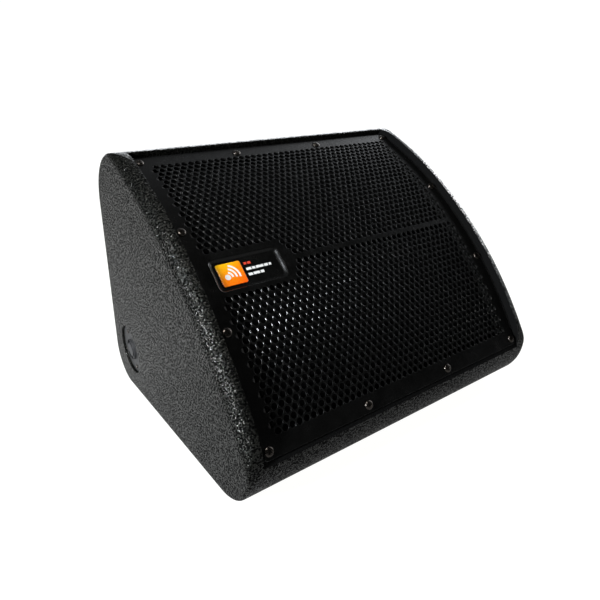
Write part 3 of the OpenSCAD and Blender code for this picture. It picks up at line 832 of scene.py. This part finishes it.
def hole_rows():
    """Rows of hole centres as (s, x of the first hole, count), with room left for the badge."""
    rows = []
    for first, step in ((FIRST_UP, ROW_PITCH), (FIRST_DOWN, -ROW_PITCH)):
        for k in range(ROWS):
            shift = HOLE_PITCH / 4 * (1 if k % 2 else -1)
            x = -(ROW_HOLES - 1) * HOLE_PITCH / 2 + shift
            skip = 0
            if k < POCKET_ROWS:
                clear = POCKET_X + POCKET_W + POCKET_BORDER + HOLE_FLAT
                clear += (POCKET_ROWS - 1 - k) * HOLE_PITCH / 2
                skip = max(0, math.ceil((clear - x) / HOLE_PITCH))
            rows.append((first + k * step, x + skip * HOLE_PITCH, ROW_HOLES - skip))
    return rows


def hexagon(x, s, flat):
    """Pointy-topped hexagon with its corners cut, anticlockwise."""
    loop = []
    corner = flat / math.cos(math.pi / 6)
    points = [corner * unit(math.pi / 6 + k * math.pi / 3) for k in range(6)]
    for k, p in enumerate(points):
        for other in (points[k - 1], points[(k + 1) % 6]):
            q = p + (other - p) * HOLE_CORNER
            loop.append((x + q[0], s + q[1]))
    return loop


def spaced(loop, step):
    """The loop with points added so that none of its sides is longer than step."""
    out = []
    for a, b in zip(loop, loop[1:] + loop[:1]):
        a, b = Vector(a[:2]), Vector(b[:2])
        parts = max(1, math.ceil((b - a).length / step))
        out += [tuple(a + (b - a) * i / parts) for i in range(parts)]
    return out


def pocket_sink(share):
    """Depth of the pocket's wall, from 0 at its rim to POCKET_D at its foot."""
    return POCKET_D * (3 * share**2 - 2 * share**3)


def grille():
    """The sheet is laid out flat in (x, s), cut up with its holes, and then rolled."""
    flat, edges, sinks = [], [], []
    loops = {"hole": [], "rim": [], "mark": []}

    def draw(loop, kind, sink=0.0):
        first = len(flat)
        ids = list(range(first, first + len(loop)))
        flat.extend(Vector(p[:2]) for p in loop)
        sinks.extend([sink] * len(loop))
        edges.extend(zip(ids, ids[1:] + ids[:1]))
        loops[kind].append(ids)

    height = GRILLE_TOP_S + GRILLE_BOTTOM_S
    border = shifted(
        rounded_box(2 * GRILLE_HALF_W - 1, height - 1, 3), 0, (GRILLE_TOP_S - GRILLE_BOTTOM_S) / 2
    )
    draw(spaced(border, EDGE_STEP), "rim")
    for s, x, count in hole_rows():
        for k in range(count):
            draw(hexagon(x + k * HOLE_PITCH, s, HOLE_FLAT + HOLE_EASE), "hole")
    middle = POCKET_X + POCKET_W / 2
    for k in range(9):
        share = k / 8
        inset = share * POCKET_WALL
        wall = rounded_box(POCKET_W - 2 * inset, POCKET_H - 2 * inset, 6.5 - 0.55 * inset, steps=5)
        draw(spaced(shifted(wall, middle), 6), "mark", pocket_sink(share))
    bars = badge_bars()
    for bar, _ in bars:
        draw(bar, "mark", POCKET_D)

    out, _, tris, origin, _, _ = geometry.delaunay_2d_cdt(flat, edges, [], 0, 1e-4)
    new_id = {old: new for new, olds in enumerate(origin) for old in olds}
    holes = [[new_id[i] for i in loop] for loop in loops["hole"]]
    rim = [new_id[i] for i in loops["rim"][0]]
    sink = [max((sinks[i] for i in olds), default=0.0) for olds in origin]
    hole_of = {i: n for n, loop in enumerate(holes) for i in loop}

    def rolled(x, s, height):
        spin = MID - s / GRILLE_R
        reach = GRILLE_R + height
        return Vector((x, ARC_Y + reach * math.cos(spin), ARC_Z + reach * math.sin(spin)))

    points = [rolled(p[0], p[1], -sink[i]) for i, p in enumerate(out)]
    under = [None] * len(out)
    faces, paints = [], []

    def wall(loop, outward, rings):
        """Walls from a loop of the top face down through rings of (grow, height)."""
        centre = sum((out[i] for i in loop), Vector((0, 0))) / len(loop)
        above = list(loop)
        for grow, height in rings:
            below = []
            for i in loop:
                p = out[i]
                q = grow(p, centre)
                below.append(len(points))
                points.append(rolled(q[0], q[1], height))
            for k in range(len(loop)):
                a, b = k, (k + 1) % len(loop)
                if outward:
                    faces.append([below[a], below[b], above[b], above[a]])
                else:
                    faces.append([above[a], above[b], below[b], below[a]])
                paints.append(0)
            above = below
        for i, j in zip(loop, above):
            under[i] = j

    def shrink(factor):
        return lambda p, centre: centre + (p - centre) * factor

    def grow_rim(p, centre):
        return Vector((p[0] + math.copysign(0.5, p[0]), p[1] + math.copysign(0.5, p[1])))

    full = HOLE_FLAT + HOLE_EASE
    ease = [(0.17, -0.1), (0.0, -0.3), (0.0, -SHEET)]
    for loop in holes:
        wall(loop, False, [(shrink((HOLE_FLAT + grow) / full), down) for grow, down in ease])
    wall(rim, True, [(grow_rim, -0.5), (grow_rim, -SHEET)])
    for i, p in enumerate(out):
        if under[i] is None:
            under[i] = len(points)
            points.append(rolled(p[0], p[1], -sink[i] - SHEET))
    for tri in tris:
        owners = {hole_of.get(i) for i in tri}
        if len(owners) == 1 and None not in owners:
            continue
        a, b, c = tri if turns_left(*(out[i] for i in tri)) else tri[::-1]
        spot = (out[a] + out[b] + out[c]) / 3
        ink = next((paint for bar, paint in bars if within(spot, bar)), 0)
        faces.append([a, b, c])
        paints.append(ink)
        faces.append([under[c], under[b], under[a]])
        paints.append(0)
    shape = Shape()
    shape.points, shape.faces, shape.paints = points, faces, paints
    shape.stand_for("grille", "grille_steel", 12, WHITE_INK, RED_INK)


def within(spot, bar):
    xs, ys = [p[0] for p in bar], [p[1] for p in bar]
    return min(xs) < spot[0] < max(xs) and min(ys) < spot[1] < max(ys)


BAR_LINES = (
    # height of the line's middle, its bars' height, the bars' widths, ink
    (9.2, 3.0, (3.4, 4.2), 2),
    (1.6, 3.2, (6.4, 4.0, 9.5, 5.0, 3.2), 1),
    (-5.4, 3.2, (5.2, 8.2, 4.4), 1),
)


def badge_bars():
    """Plain printed bars to the right of the badge, in place of lettering."""
    bars = []
    for s, tall, widths, ink in BAR_LINES:
        x = POCKET_X + 42
        for wide in widths:
            loop = [(x, s - tall / 2), (x + wide, s - tall / 2), (x + wide, s + tall / 2)]
            bars.append((loop + [(x, s + tall / 2)], ink))
            x += wide + 1.1
    return bars


# ---- Screws ----
def cross(reach, half):
    """Outline of a crossed recess, anticlockwise."""
    loop = []
    for k in range(4):
        turn = Matrix.Rotation(k * math.pi / 2, 2)
        for p in ((half, -half), (reach, -half * 0.8), (reach, half * 0.8)):
            loop.append(tuple(turn @ Vector(p)))
    return loop


def screw(shape, place, radius, height, shank, shank_r):
    """Pan head with a crossed recess, its seat on z = 0, over a pointed shank."""
    steps = 32
    profile = [
        (shank_r * 0.2, -shank), (shank_r, -shank + 2 * shank_r), (shank_r, 0),
        (radius * 0.97, 0), (radius, height * 0.12), (radius, height * 0.3),
        (radius * 0.94, height * 0.55), (radius * 0.83, height * 0.76),
        (radius * 0.7, height * 0.9), (radius * 0.58, height * 0.97),
    ]
    shape.lathe(profile, place, steps, start=True)
    reach, half = radius * 0.52, radius * 0.11
    lip = [(*p, height * 0.985) for p in cross(reach, half)]
    foot = [(*p, height * 0.35) for p in cross(reach * 0.55, half * 0.8)]
    rim = circle(radius * 0.58, steps, height * 0.97)
    shape.fill([rim, lip], place)
    shape.rings([lip, foot][::-1], place)
    shape.fill([foot], place)


def screw_set(name, places, radius, height, shank, shank_r, slot="dark_steel"):
    """The screws of one CAD node as one piece, each turned its own way."""
    shape = Shape()
    dice = random.Random(name)
    for place in places:
        twist = Matrix.Rotation(dice.uniform(0, math.pi / 2), 4, "Z")
        screw(shape, place @ twist, radius, height, shank, shank_r)
    shape.stand_for(name, slot, 35)


def grille_screw_places():
    thirds = [SIDE_SCREW_X * share for share in (-1, -1 / 3, 1 / 3, 1)]
    ends = [(x, s) for s in (END_SCREW_S, -END_SCREW_S) for x in thirds]
    sides = [(x, s) for s in (MID_SCREW_S, -MID_SCREW_S) for x in (-SIDE_SCREW_X, SIDE_SCREW_X)]
    return [on_grille(x, s) for x, s in ends + sides]


def around(place, count, radius, start):
    """Places on a circle about the Z of place."""
    spots = []
    for k in range(count):
        turn = Matrix.Rotation(math.radians(start) + math.tau * k / count, 4, "Z")
        spots.append(place @ turn @ Matrix.Translation((radius, 0, 0)))
    return spots


# ---- Badge ----
BADGE_W = 30
BADGE_H = 28
BADGE_T = 0.8
BADGE_INSET = 8
SIGN_FOOT = Vector((-6.2, -3.4))
SIGN_ARCS = (7.2, 11.6, 16)
SIGN_LINE = 2.3


def badge():
    """Domed square badge with a generic sign for sound: a dot and three arcs."""
    place = on_grille(POCKET_X + BADGE_INSET + BADGE_W / 2, 0) @ Matrix.Translation(
        (0, 0, -POCKET_D)
    )
    shape = Shape()
    loops = []
    for inset, height in ((0, 0), (0, 0.45), (0.12, 0.62), (0.35, 0.74), (0.8, BADGE_T)):
        loops.append(rounded_box(BADGE_W - 2 * inset, BADGE_H - 2 * inset, 2.2 - inset, height))
    shape.rings(loops, place, start=True, end=True)
    ink = BADGE_T + 0.02
    shape.fill([shifted(circle(3.4, 32, ink), *SIGN_FOOT)], place, paint=1)
    first, last = math.radians(-8), math.radians(68)
    for radius in SIGN_ARCS:
        outer = arc(SIGN_FOOT, radius, first, last, 20)
        inner = arc(SIGN_FOOT, radius - SIGN_LINE, last, first, 20)
        shape.fill([[(*q, ink) for q in outer + inner]], place, paint=1)
    shape.stand_for("badge_plate", "badge_orange", 60, WHITE_INK)


# ---- Connector plates and sockets ----
SOCKET_R = 12
SOCKET_FLANGE_R = 16
SOCKET_FLANGE_T = 3.2
SOCKET_BORE_R = 10
SOCKET_CORE_R = 4.5
SOCKET_DEPTH = 26
SOCKET_SCREW_R = 13.6
SOCKET_HEAD_T = 1.2
PLATE_SCREW_R = 28


def plate_face(side):
    return on_side(side) @ Matrix.Translation((0, 0, -PLATE_RECESS))


def connector_plate(side, name):
    """Disc with an eased rim, a shallow pressed ring and the socket's hole."""
    shape = Shape()
    profile = [
        (SOCKET_R, -PLATE_T), (PLATE_R - 0.3, -PLATE_T), (PLATE_R - 0.1, -0.7),
        (PLATE_R - 0.35, -0.2), (PLATE_R - 0.9, 0), (PLATE_R - 3, 0), (23.4, 0), (22.6, -0.25),
        (20.4, -0.25), (19.6, 0), (SOCKET_R + 0.3, 0), (SOCKET_R, -0.3), (SOCKET_R, -PLATE_T),
    ]
    shape.lathe(profile, plate_face(side), 96)
    shape.stand_for(name, "plate_black", 35)


def keyed_circle(radius, z, key_depth, steps=96):
    """Circle with two square keyways, one wider than the other."""
    loop = []
    for i in range(steps):
        angle = math.tau * i / steps
        wide = min(angle, math.tau - angle) * radius < 1.9
        narrow = abs(angle - math.pi) * radius < 1.2
        reach = radius + (key_depth if wide or narrow else 0)
        loop.append((*(reach * unit(angle)), z))
    return loop


def speaker_socket(side, name):
    """Round four-pole socket: a raised collar, a keyed bore and a core with its own slots."""
    place = plate_face(side)
    shape = Shape()
    top = SOCKET_FLANGE_T
    flange = [
        (SOCKET_FLANGE_R, 0.02), (SOCKET_FLANGE_R, top - 0.7), (SOCKET_FLANGE_R - 0.2, top - 0.25),
        (SOCKET_FLANGE_R - 0.7, top),
    ]
    shape.lathe(flange, place, 96)
    seats = [
        shifted(circle(2.2, 24, top), *(SOCKET_SCREW_R * unit(math.radians(angle))))
        for angle in (45, 225)
    ]
    mouth = keyed_circle(SOCKET_BORE_R + 0.5, top, 0.9)
    shape.fill([circle(SOCKET_FLANGE_R - 0.7, 96, top), mouth] + seats, place)
    for seat in seats:
        floor = [(q[0], q[1], top - SOCKET_HEAD_T) for q in seat]
        shape.rings([seat, floor], place)
        shape.fill([floor], place)
    bore = [mouth] + [keyed_circle(SOCKET_BORE_R, z, 0.9) for z in (top - 0.6, -5)]
    bore += [
        circle(radius, 96, z)
        for radius, z in (
            (SOCKET_BORE_R, -5.5), (SOCKET_BORE_R, -18), (SOCKET_CORE_R, -18), (SOCKET_CORE_R, -2.6),
            (SOCKET_CORE_R - 0.4, -2.1), (SOCKET_CORE_R - 1.2, -2), (SOCKET_CORE_R - 1.5, -3.4),
            (1.3, -3.6), (1.1, -2.4),
        )
    ]
    shape.rings(bore, place, end=True)
    body = [(SOCKET_R - 1, -SOCKET_DEPTH), (SOCKET_R, -SOCKET_DEPTH + 1), (SOCKET_R, 0.02)]
    shape.lathe(body, place, 64, start=True)
    shape.stand_for(name, "black_plastic", 35)


def plate_screws():
    places = [
        spot for side in (-1, 1) for spot in around(plate_face(side), 4, PLATE_SCREW_R, 15)
    ]
    screw_set("plate_screws", places, 3.2, 1.6, 13, 1.5)
    seat = Matrix.Translation((0, 0, SOCKET_FLANGE_T - SOCKET_HEAD_T))
    places = [
        spot for side in (-1, 1)
        for spot in around(plate_face(side) @ seat, 2, SOCKET_SCREW_R, 45)
    ]
    screw_set("socket_screws", places, 2.1, 1.0, 6.8, 1.2)


# ---- Handle ----
HANDLE_W = 122
HANDLE_H = 66
HANDLE_D = 44
DISH_T = 2
DISH_RIM = 14
GRIP_R = 8
GRIP_U = 6
GRIP_Z = -11
GRIP_RIBS = 17
RIB_PITCH = 5.4


def handle_dish():
    """Pressed dish with a stepped rim and a drafted pocket with round corners."""
    place = on_back(HANDLE_V)
    shape = Shape()
    rim = 2 * DISH_RIM

    def contours(*rows):
        """Rectangles grown from the pocket's mouth, from (growth, corner radius, height)."""
        return [rounded_box(HANDLE_W + grow, HANDLE_H + grow, r, z, 8) for grow, r, z in rows]

    skin = contours(
        (4, 13, 0.02), (rim, 11, 0.02), (rim, 11, 1.1), (rim - 0.8, 10.6, 1.8),
        (rim - 2, 10, DISH_T), (rim - 7, 9, DISH_T), (2.6, 12, DISH_T), (1, 11, 1.4), (0, 10.5, 0),
        (-5, 10, 8 - HANDLE_D), (-7, 10, 3 - HANDLE_D), (-13, 9, 0.6 - HANDLE_D),
        (-22, 8, -HANDLE_D),
    )
    shape.rings(skin, place, end=True)
    shell = contours((-18, 9, -HANDLE_D - DISH_T), (-2, 12, 4 - HANDLE_D), (4, 13, 0.02))
    shape.rings(shell, place, start=True)
    shape.stand_for("handle_dish", "plate_black", 35)


def handle_grip():
    """Bar with finger ribs, and a pin at each end in the dish's walls."""
    middle = on_back(HANDLE_V) @ Matrix.Translation((0, GRIP_U, GRIP_Z))
    place = middle @ Matrix.Rotation(math.pi / 2, 4, "Y")
    half = HANDLE_W / 2 - 0.5
    pin_r = 4
    foot = [
        (pin_r, -half - 1.4), (pin_r, -half), (GRIP_R - 1.4, -half), (GRIP_R - 0.3, -half + 1),
        (GRIP_R, -half + 3),
    ]
    ribs = []
    for k in range(GRIP_RIBS):
        z = (k - (GRIP_RIBS - 1) / 2) * RIB_PITCH
        ribs += [
            (GRIP_R, z - 1.7), (GRIP_R - 0.7, z - 1.2), (GRIP_R - 0.7, z + 1.2), (GRIP_R, z + 1.7)
        ]
    head = [(r, -z) for r, z in reversed(foot)]
    shape = Shape()
    shape.lathe(foot + ribs + head, place, 48, start=True, end=True)
    shape.stand_for("handle_grip", "black_plastic", 40)


def handle_screws():
    spots = [
        on_back(HANDLE_V) @ Matrix.Translation(
            (x * (HANDLE_W / 2 + abs(x) * DISH_RIM / 2), y * (HANDLE_H / 2 + DISH_RIM / 2), DISH_T)
        )
        for x in (-1, 0, 1) for y in (-1, 1)
    ]
    screw_set("handle_screws", spots, 4, 2, 14, 2)


# ---- Feet ----
FOOT_R = 16
FOOT_X = 170
FOOT_YS = (-120, 150)


def feet():
    shape = Shape()
    spots = [Matrix.Translation((x, y, 0)) for x in (-FOOT_X, FOOT_X) for y in FOOT_YS]
    profile = [
        (2, 1.2), (4.5, 1.2), (4.5, 0.2), (4.9, 0), (12.6, 0), (13, 0.35), (13.6, 0.35), (14, 0),
        (FOOT_R - 0.9, 0), (FOOT_R - 0.2, 0.3), (FOOT_R, 1), (FOOT_R - 0.4, FOOT_H), (2, FOOT_H),
    ]
    for spot in spots:
        shape.lathe(profile, spot)
    shape.stand_for("rubber_feet", "foot_rubber", 35)
    flip = Matrix.Rotation(math.pi, 4, "X")
    heads = [spot @ Matrix.Translation((0, 0, 1.2)) @ flip for spot in spots]
    screw_set("foot_screws", heads, 3.8, 0.9, 13, 2, "zinc_steel")


# ---- Soft parts inside the cabinet ----
CABLE_R = 2.2
LEFT_ROUTE = (
    (-193, 142.2, 73), (-178, 142.2, 73), (-160, 138, 66), (-130, 130, 46), (-104, 118, 36),
    (-86, 108, 34), (-75.5, 101, 32), (-74, 100, 29), (-74, 100, 26.4),
)
RIGHT_ROUTE = (
    (193, 142.2, 73), (178, 142.2, 73), (160, 138, 66), (130, 130, 46), (104, 116, 37),
    (84, 102, 35), (74.5, 97, 32), (73, 96, 29), (73, 96, 26.4),
)
WOOFER_ROUTE = (
    (-66, 106, 26.4), (-66, 106, 29), (-67.5, 107, 34), (-86, 118, 62), (-104, 118, 110),
    (-98, 104, 160), (-60, 74.6, 194.6), (-22, 64.6, 204.3), (-9, 56.7, 210.6),
    (-9, 49.5, 217.6), (-9, 45.9, 221),
)
HORN_ROUTE = (
    (24, 80, 26.4), (24, 80, 29), (23.8, 80.6, 34), (22, 86, 56), (14, 88, 78), (6, 84, 94),
    (0, 76, 100), (0, 70, 100.5),
)


def smooth_route(points, steps=4):
    """Catmull-Rom curve through the points, in metres."""
    points = [Vector(p) * MM for p in points]
    path = []
    for i in range(len(points) - 1):
        before, a = points[max(i - 1, 0)], points[i]
        b, after = points[i + 1], points[min(i + 2, len(points) - 1)]
        for t in (j / steps for j in range(steps)):
            path.append(
                a
                + (b - before) * t / 2
                + (before * 2 - a * 5 + b * 4 - after) * t**2 / 2
                + (a * 3 - b * 3 + after - before) * t**3 / 2
            )
    return path + [points[-1]]


def cable(name, route, paint, node):
    """Round two-core cable, drawn as a plain round tube along the route."""
    path = smooth_route(route)
    line = bpy.data.curves.new(name, "CURVE")
    line.dimensions = "3D"
    line.bevel_depth = CABLE_R * MM
    line.bevel_resolution = 5
    line.use_fill_caps = True
    spline = line.splines.new("POLY")
    spline.points.add(len(path) - 1)
    for point, place in zip(spline.points, path):
        point.co = (*place, 1)
    line.materials.append(PAINTS[paint])
    made = bpy.data.objects.new(name, line)
    bpy.context.scene.collection.objects.link(made)
    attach(made, "cabinet")
    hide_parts(node)


def cables():
    cable("input_cable_left", LEFT_ROUTE, "cable_black", "input_cables")
    cable("input_cable_right", RIGHT_ROUTE, "cable_black", "input_cables")
    cable("woofer_cable", WOOFER_ROUTE, "cable_red", "driver_cables")
    cable("horn_cable", HORN_ROUTE, "cable_red", "driver_cables")


def swell(u, v, width, height, round_mm):
    """How full a pad is at a place on its face: 0 at its edge, 1 well inside it."""
    rim = min(width / 2 - abs(u), height / 2 - abs(v))
    share = min(max(rim, 0) / round_mm, 1)
    return math.sqrt(1 - (1 - share) ** 2)


def soft_slab(name, width, height, thick, place, slot, node, round_mm, lump, step, tufts=()):
    """Pad between z 0 and thick: round edges, an uneven face, and dimples at its tufts."""
    seed = random.Random(name)
    phases = [seed.uniform(0, math.tau) for _ in range(6)]
    nx, ny = round(width / step), round(height / step)

    def inset(i, count, size):
        """Grid lines that draw together towards the edges."""
        t = i / count * 2 - 1
        return size / 2 * (0.35 * math.sin(t * math.pi / 2) + 0.65 * t)

    def unevenness(u, v):
        return (
            math.sin(u / 23 + phases[0] + 1.3 * math.sin(v / 31 + phases[1]))
            + math.sin(v / 17 + phases[2] + 1.1 * math.sin(u / 29 + phases[3]))
            + 0.7 * math.sin((u + v) / 9 + phases[4])
            + 0.5 * math.sin((u - 1.4 * v) / 6.3 + phases[5])
        ) / 3.2

    def level(u, v, side):
        full = swell(u, v, width, height, round_mm)
        dip = sum(math.exp(-((u - a) ** 2 + (v - b) ** 2) / 90) for a, b in tufts)
        ragged = lump * (unevenness(u, v) - 1) * full
        if side:
            return thick / 2 + (thick / 2) * full * (1 - 0.62 * dip) + ragged
        return thick / 2 * (1 - full)

    shape = Shape()
    for side in (1, 0):
        points = [
            (u, v, level(u, v, side))
            for v in (inset(j, ny, height) for j in range(ny + 1))
            for u in (inset(i, nx, width) for i in range(nx + 1))
        ]
        faces = []
        for j in range(ny):
            for i in range(nx):
                a = j * (nx + 1) + i
                quad = [a, a + 1, a + nx + 2, a + nx + 1]
                faces.append(quad if side else quad[::-1])
        shape.add([place(p) for p in points], faces)
    piece = shape.build(name, [PAINTS[slot]], (node,), sharp=180)
    weld(piece, 0.02)


def weld(piece, distance_mm):
    made = bmesh.new()
    made.from_mesh(piece.data)
    bmesh.ops.remove_doubles(made, verts=made.verts, dist=distance_mm * MM)
    made.to_mesh(piece.data)
    made.free()


def soft_goods():
    """The foam behind the grille, and the two wadding pads."""
    span = math.radians(2 * FOAM_TURN) * FOAM_R

    def behind_grille(p):
        turn = Matrix.Rotation(TILT - p[1] / FOAM_R, 4, "X")
        return CENTRE @ turn @ Vector((p[0], 0, FOAM_R - FOAM_T + p[2]))

    soft_slab(
        "grille_foam", 2 * FOAM_HALF_W, span, FOAM_T, behind_grille, "foam", "grille_foam",
        4, 0.5, 5,
    )
    back = on_back(PAD_V) @ Matrix.Translation((0, 0, -WALL - PAD_T - FIT))
    floor = Matrix.Translation((0, ARC_Y - PAD_AHEAD, FOOT_H + WALL + FIT))
    buttons = [(x, 0) for x in (-100, 0, 100)]
    soft_slab(
        "damping_pad_back", 300, 90, PAD_T, lambda p: back @ Vector(p), "felt", "damping_pads",
        6, 1.4, 5, buttons,
    )
    soft_slab(
        "damping_pad_floor", 320, 110, PAD_T, lambda p: floor @ Vector(p), "felt", "damping_pads",
        6, 1.4, 5, buttons,
    )


SECTORS = 24


def flexing_ring(name, slot, profile, thick, sectors=SECTORS):
    """Ring of cloth between a moving part and the frame, made as separate sectors, each
    between two radii. Profile is (radius, height) pairs from the inside out."""
    place = on_baffle()
    loop = profile + [(r, z - thick) for r, z in reversed(profile)]
    steps = 5
    for k in range(sectors):
        start = math.tau * k / sectors
        shape = Shape()
        loops = []
        for i in range(steps + 1):
            turn = unit(start + math.tau * i / steps / sectors)
            loops.append([(r * turn[0], r * turn[1], z) for r, z in loop])
        shape.rings(loops, place)
        piece = shape.build(
            f"{name}_{k + 1:02}", [PAINTS[slot]], (name,), body=None, sharp=60
        )
        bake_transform(piece)


def spread(inner, outer, steps):
    """Radii from inner to outer, each with its share of the way."""
    return [(inner + (outer - inner) * i / steps, i / steps) for i in range(steps + 1)]


def suspensions():
    """The woofer's surround and spider, and the compression driver's diaphragm ring."""
    pleats = [
        (r, CONE_RIM_Z * (1 - t) + t + 3 * abs(math.sin(t * 3 * math.pi)))
        for r, t in spread(CONE_RIM_R, SURROUND_R, 48)
    ]
    flexing_ring("woofer_surround", "surround_cloth", pleats, 0.8)
    waves = [
        (r, SPIDER_Z + 1.4 * math.sin(t * 12 * math.pi))
        for r, t in spread(SPIDER_R, SPIDER_RIM_R, 96)
    ]
    flexing_ring("woofer_spider", "spider_cloth", waves, 0.6)
    ring = [
        (r, HF_BACK - 2.6 - 0.12 + 0.12 * math.cos((r - HF_RING_R) * 3.5))
        for r, t in spread(HF_RING_R, HF_RIM_R, 24)
    ]
    flexing_ring("hf_suspension", "spider_cloth", ring, 0.28, 12)


# ---- CAD nodes that keep their own shape ----
def paint_cad_nodes():
    """Every CAD node that is still shown gets its slot's material, and soft edges."""
    slot_of = {part["node"]: part["material_slot"] for part in frame["record"]["subparts"]}
    for name, node in frame["nodes"].items():
        if node.hide_render:
            continue
        node.data.materials.clear()
        node.data.materials.append(PAINTS[slot_of[name]])
        bevel = node.modifiers.new("eased edges", "BEVEL")
        bevel.width = 0.3 * MM
        bevel.segments = 2
        bevel.limit_method = "ANGLE"
        bevel.angle_limit = math.radians(50)


# ---- Stage, light and camera ----
def camera():
    """At the photograph's viewing angle: 34 degrees to the left, 20 degrees down."""
    data = bpy.data.cameras.new("camera")
    data.lens = 30.6
    made = bpy.data.objects.new("camera", data)
    ahead = Vector((0.5212, 0.7787, -0.3494)).normalized()
    up = Vector((0.24295, 0.25706, 0.93538))
    right = ahead.cross(up).normalized()
    up = right.cross(ahead)
    made.matrix_world = Matrix.Translation((-0.4027, -0.5907, 0.4005)) @ Matrix(
        (right, up, -ahead)
    ).transposed().to_4x4()
    bpy.context.scene.collection.objects.link(made)
    bpy.context.scene.camera = made


def backdrop():
    """Pale studio floor that looks evenly white, and lights the object more from behind."""
    shape = Shape()
    shape.lathe([(r, 0) for r in (0.05, 400, 900, 2000, 5000, 14000, 40000)], None, 96)
    floor = shape.build("studio_floor", [], body=None)
    p = Paint("studio_floor")
    speck = p.noise(0.01, 2)
    forward = p.node("ShaderNodeSeparateXYZ", Vector=p.place).outputs["Y"]
    glow = p.ramp(forward, 0.14, 0.48, -350 * MM, 250 * MM)
    seen = p.node("ShaderNodeLightPath").outputs["Is Camera Ray"]
    paint = p.finish(
        Base_Color=p.mix(speck, (0.09, 0.09, 0.09), (0.11, 0.11, 0.11)),
        Roughness=p.ramp(speck, 0.85, 0.95),
        Emission_Color=(1, 1, 0.985),
        Emission_Strength=p.math("MAXIMUM", seen, glow),
    )
    floor.data.materials.append(paint)
    floor.data.flip_normals()


def softbox(name, place, aim, size, radiance, colour=(1, 1, 1)):
    """Area light whose face has that radiance, whatever its size in metres."""
    data = bpy.data.lights.new(name, "AREA")
    data.shape = "RECTANGLE"
    data.size, data.size_y = size
    data.energy = radiance * math.pi * size[0] * size[1]
    data.color = colour
    made = bpy.data.objects.new(name, data)
    made.location = place
    made.rotation_euler = (Vector(aim) - Vector(place)).to_track_quat("-Z", "Y").to_euler()
    bpy.context.scene.collection.objects.link(made)


def studio():
    """A white surround behind the object, over a dim room with a few softboxes in it."""
    bpy.context.scene.view_settings.view_transform = "Standard"
    world = bpy.data.worlds.new("studio")
    bpy.context.scene.world = world
    sky = Nodes(world)
    compass = sky.node("ShaderNodeTexCoord").outputs["Generated"]
    east, north, up = sky.node("ShaderNodeSeparateXYZ", Vector=compass).outputs
    facing = sky.math("ADD", sky.math("MULTIPLY", east, 0.8), sky.math("MULTIPLY", north, 0.6))
    wall = sky.math("MULTIPLY", sky.fade(facing, 0.45, 0.85), sky.fade(up, 0.75, 0.35))
    ceiling = sky.math("MULTIPLY", sky.fade(north, -0.15, 0.35), sky.fade(up, 0.4, 0.8))
    glow = sky.math("ADD", sky.math("MULTIPLY", wall, 3.4), sky.math("MULTIPLY", ceiling, 0.12))
    room = sky.nodes["Background"]
    sky.join((0.93, 0.96, 1), room.inputs["Color"])
    sky.join(sky.math("ADD", glow, 0.025), room.inputs["Strength"])
    surround = sky.node("ShaderNodeBackground", Color=(1, 1, 1), Strength=1.05)
    seen = sky.node("ShaderNodeLightPath").outputs["Is Camera Ray"]
    mix = sky.node("ShaderNodeMixShader", Fac=seen)
    sky.join(room.outputs["Background"], mix.inputs[1])
    sky.join(surround.outputs["Background"], mix.inputs[2])
    sky.join(mix.outputs["Shader"], sky.nodes["World Output"].inputs["Surface"])
    middle = (0, 0, 0.2)
    softbox("window", (-1.47, -0.34, 0.68), middle, (0.12, 0.25), 620, (0.9, 0.95, 1))
    softbox("rim_light", (1.5, 0.32, 0.52), middle, (0.4, 0.4), 17)
    softbox("lamp", (-0.5, -0.6, 1.7), middle, (0.35, 0.35), 24, (1, 0.98, 0.95))


camera()
cables()
side_panel(-1, "side_panel_left")
side_panel(1, "side_panel_right")
top_rail()
front_rail()
rear_rail()
grille()
screw_set("grille_screws", grille_screw_places(), 5.5, 2.4, 14, 2)

badge()
for side, end in ((-1, "left"), (1, "right")):
    connector_plate(side, f"connector_plate_{end}")
    speaker_socket(side, f"speaker_socket_{end}")
plate_screws()
handle_dish()
handle_grip()
handle_screws()
feet()
soft_goods()
suspensions()
paint_cad_nodes()

backdrop()
studio()
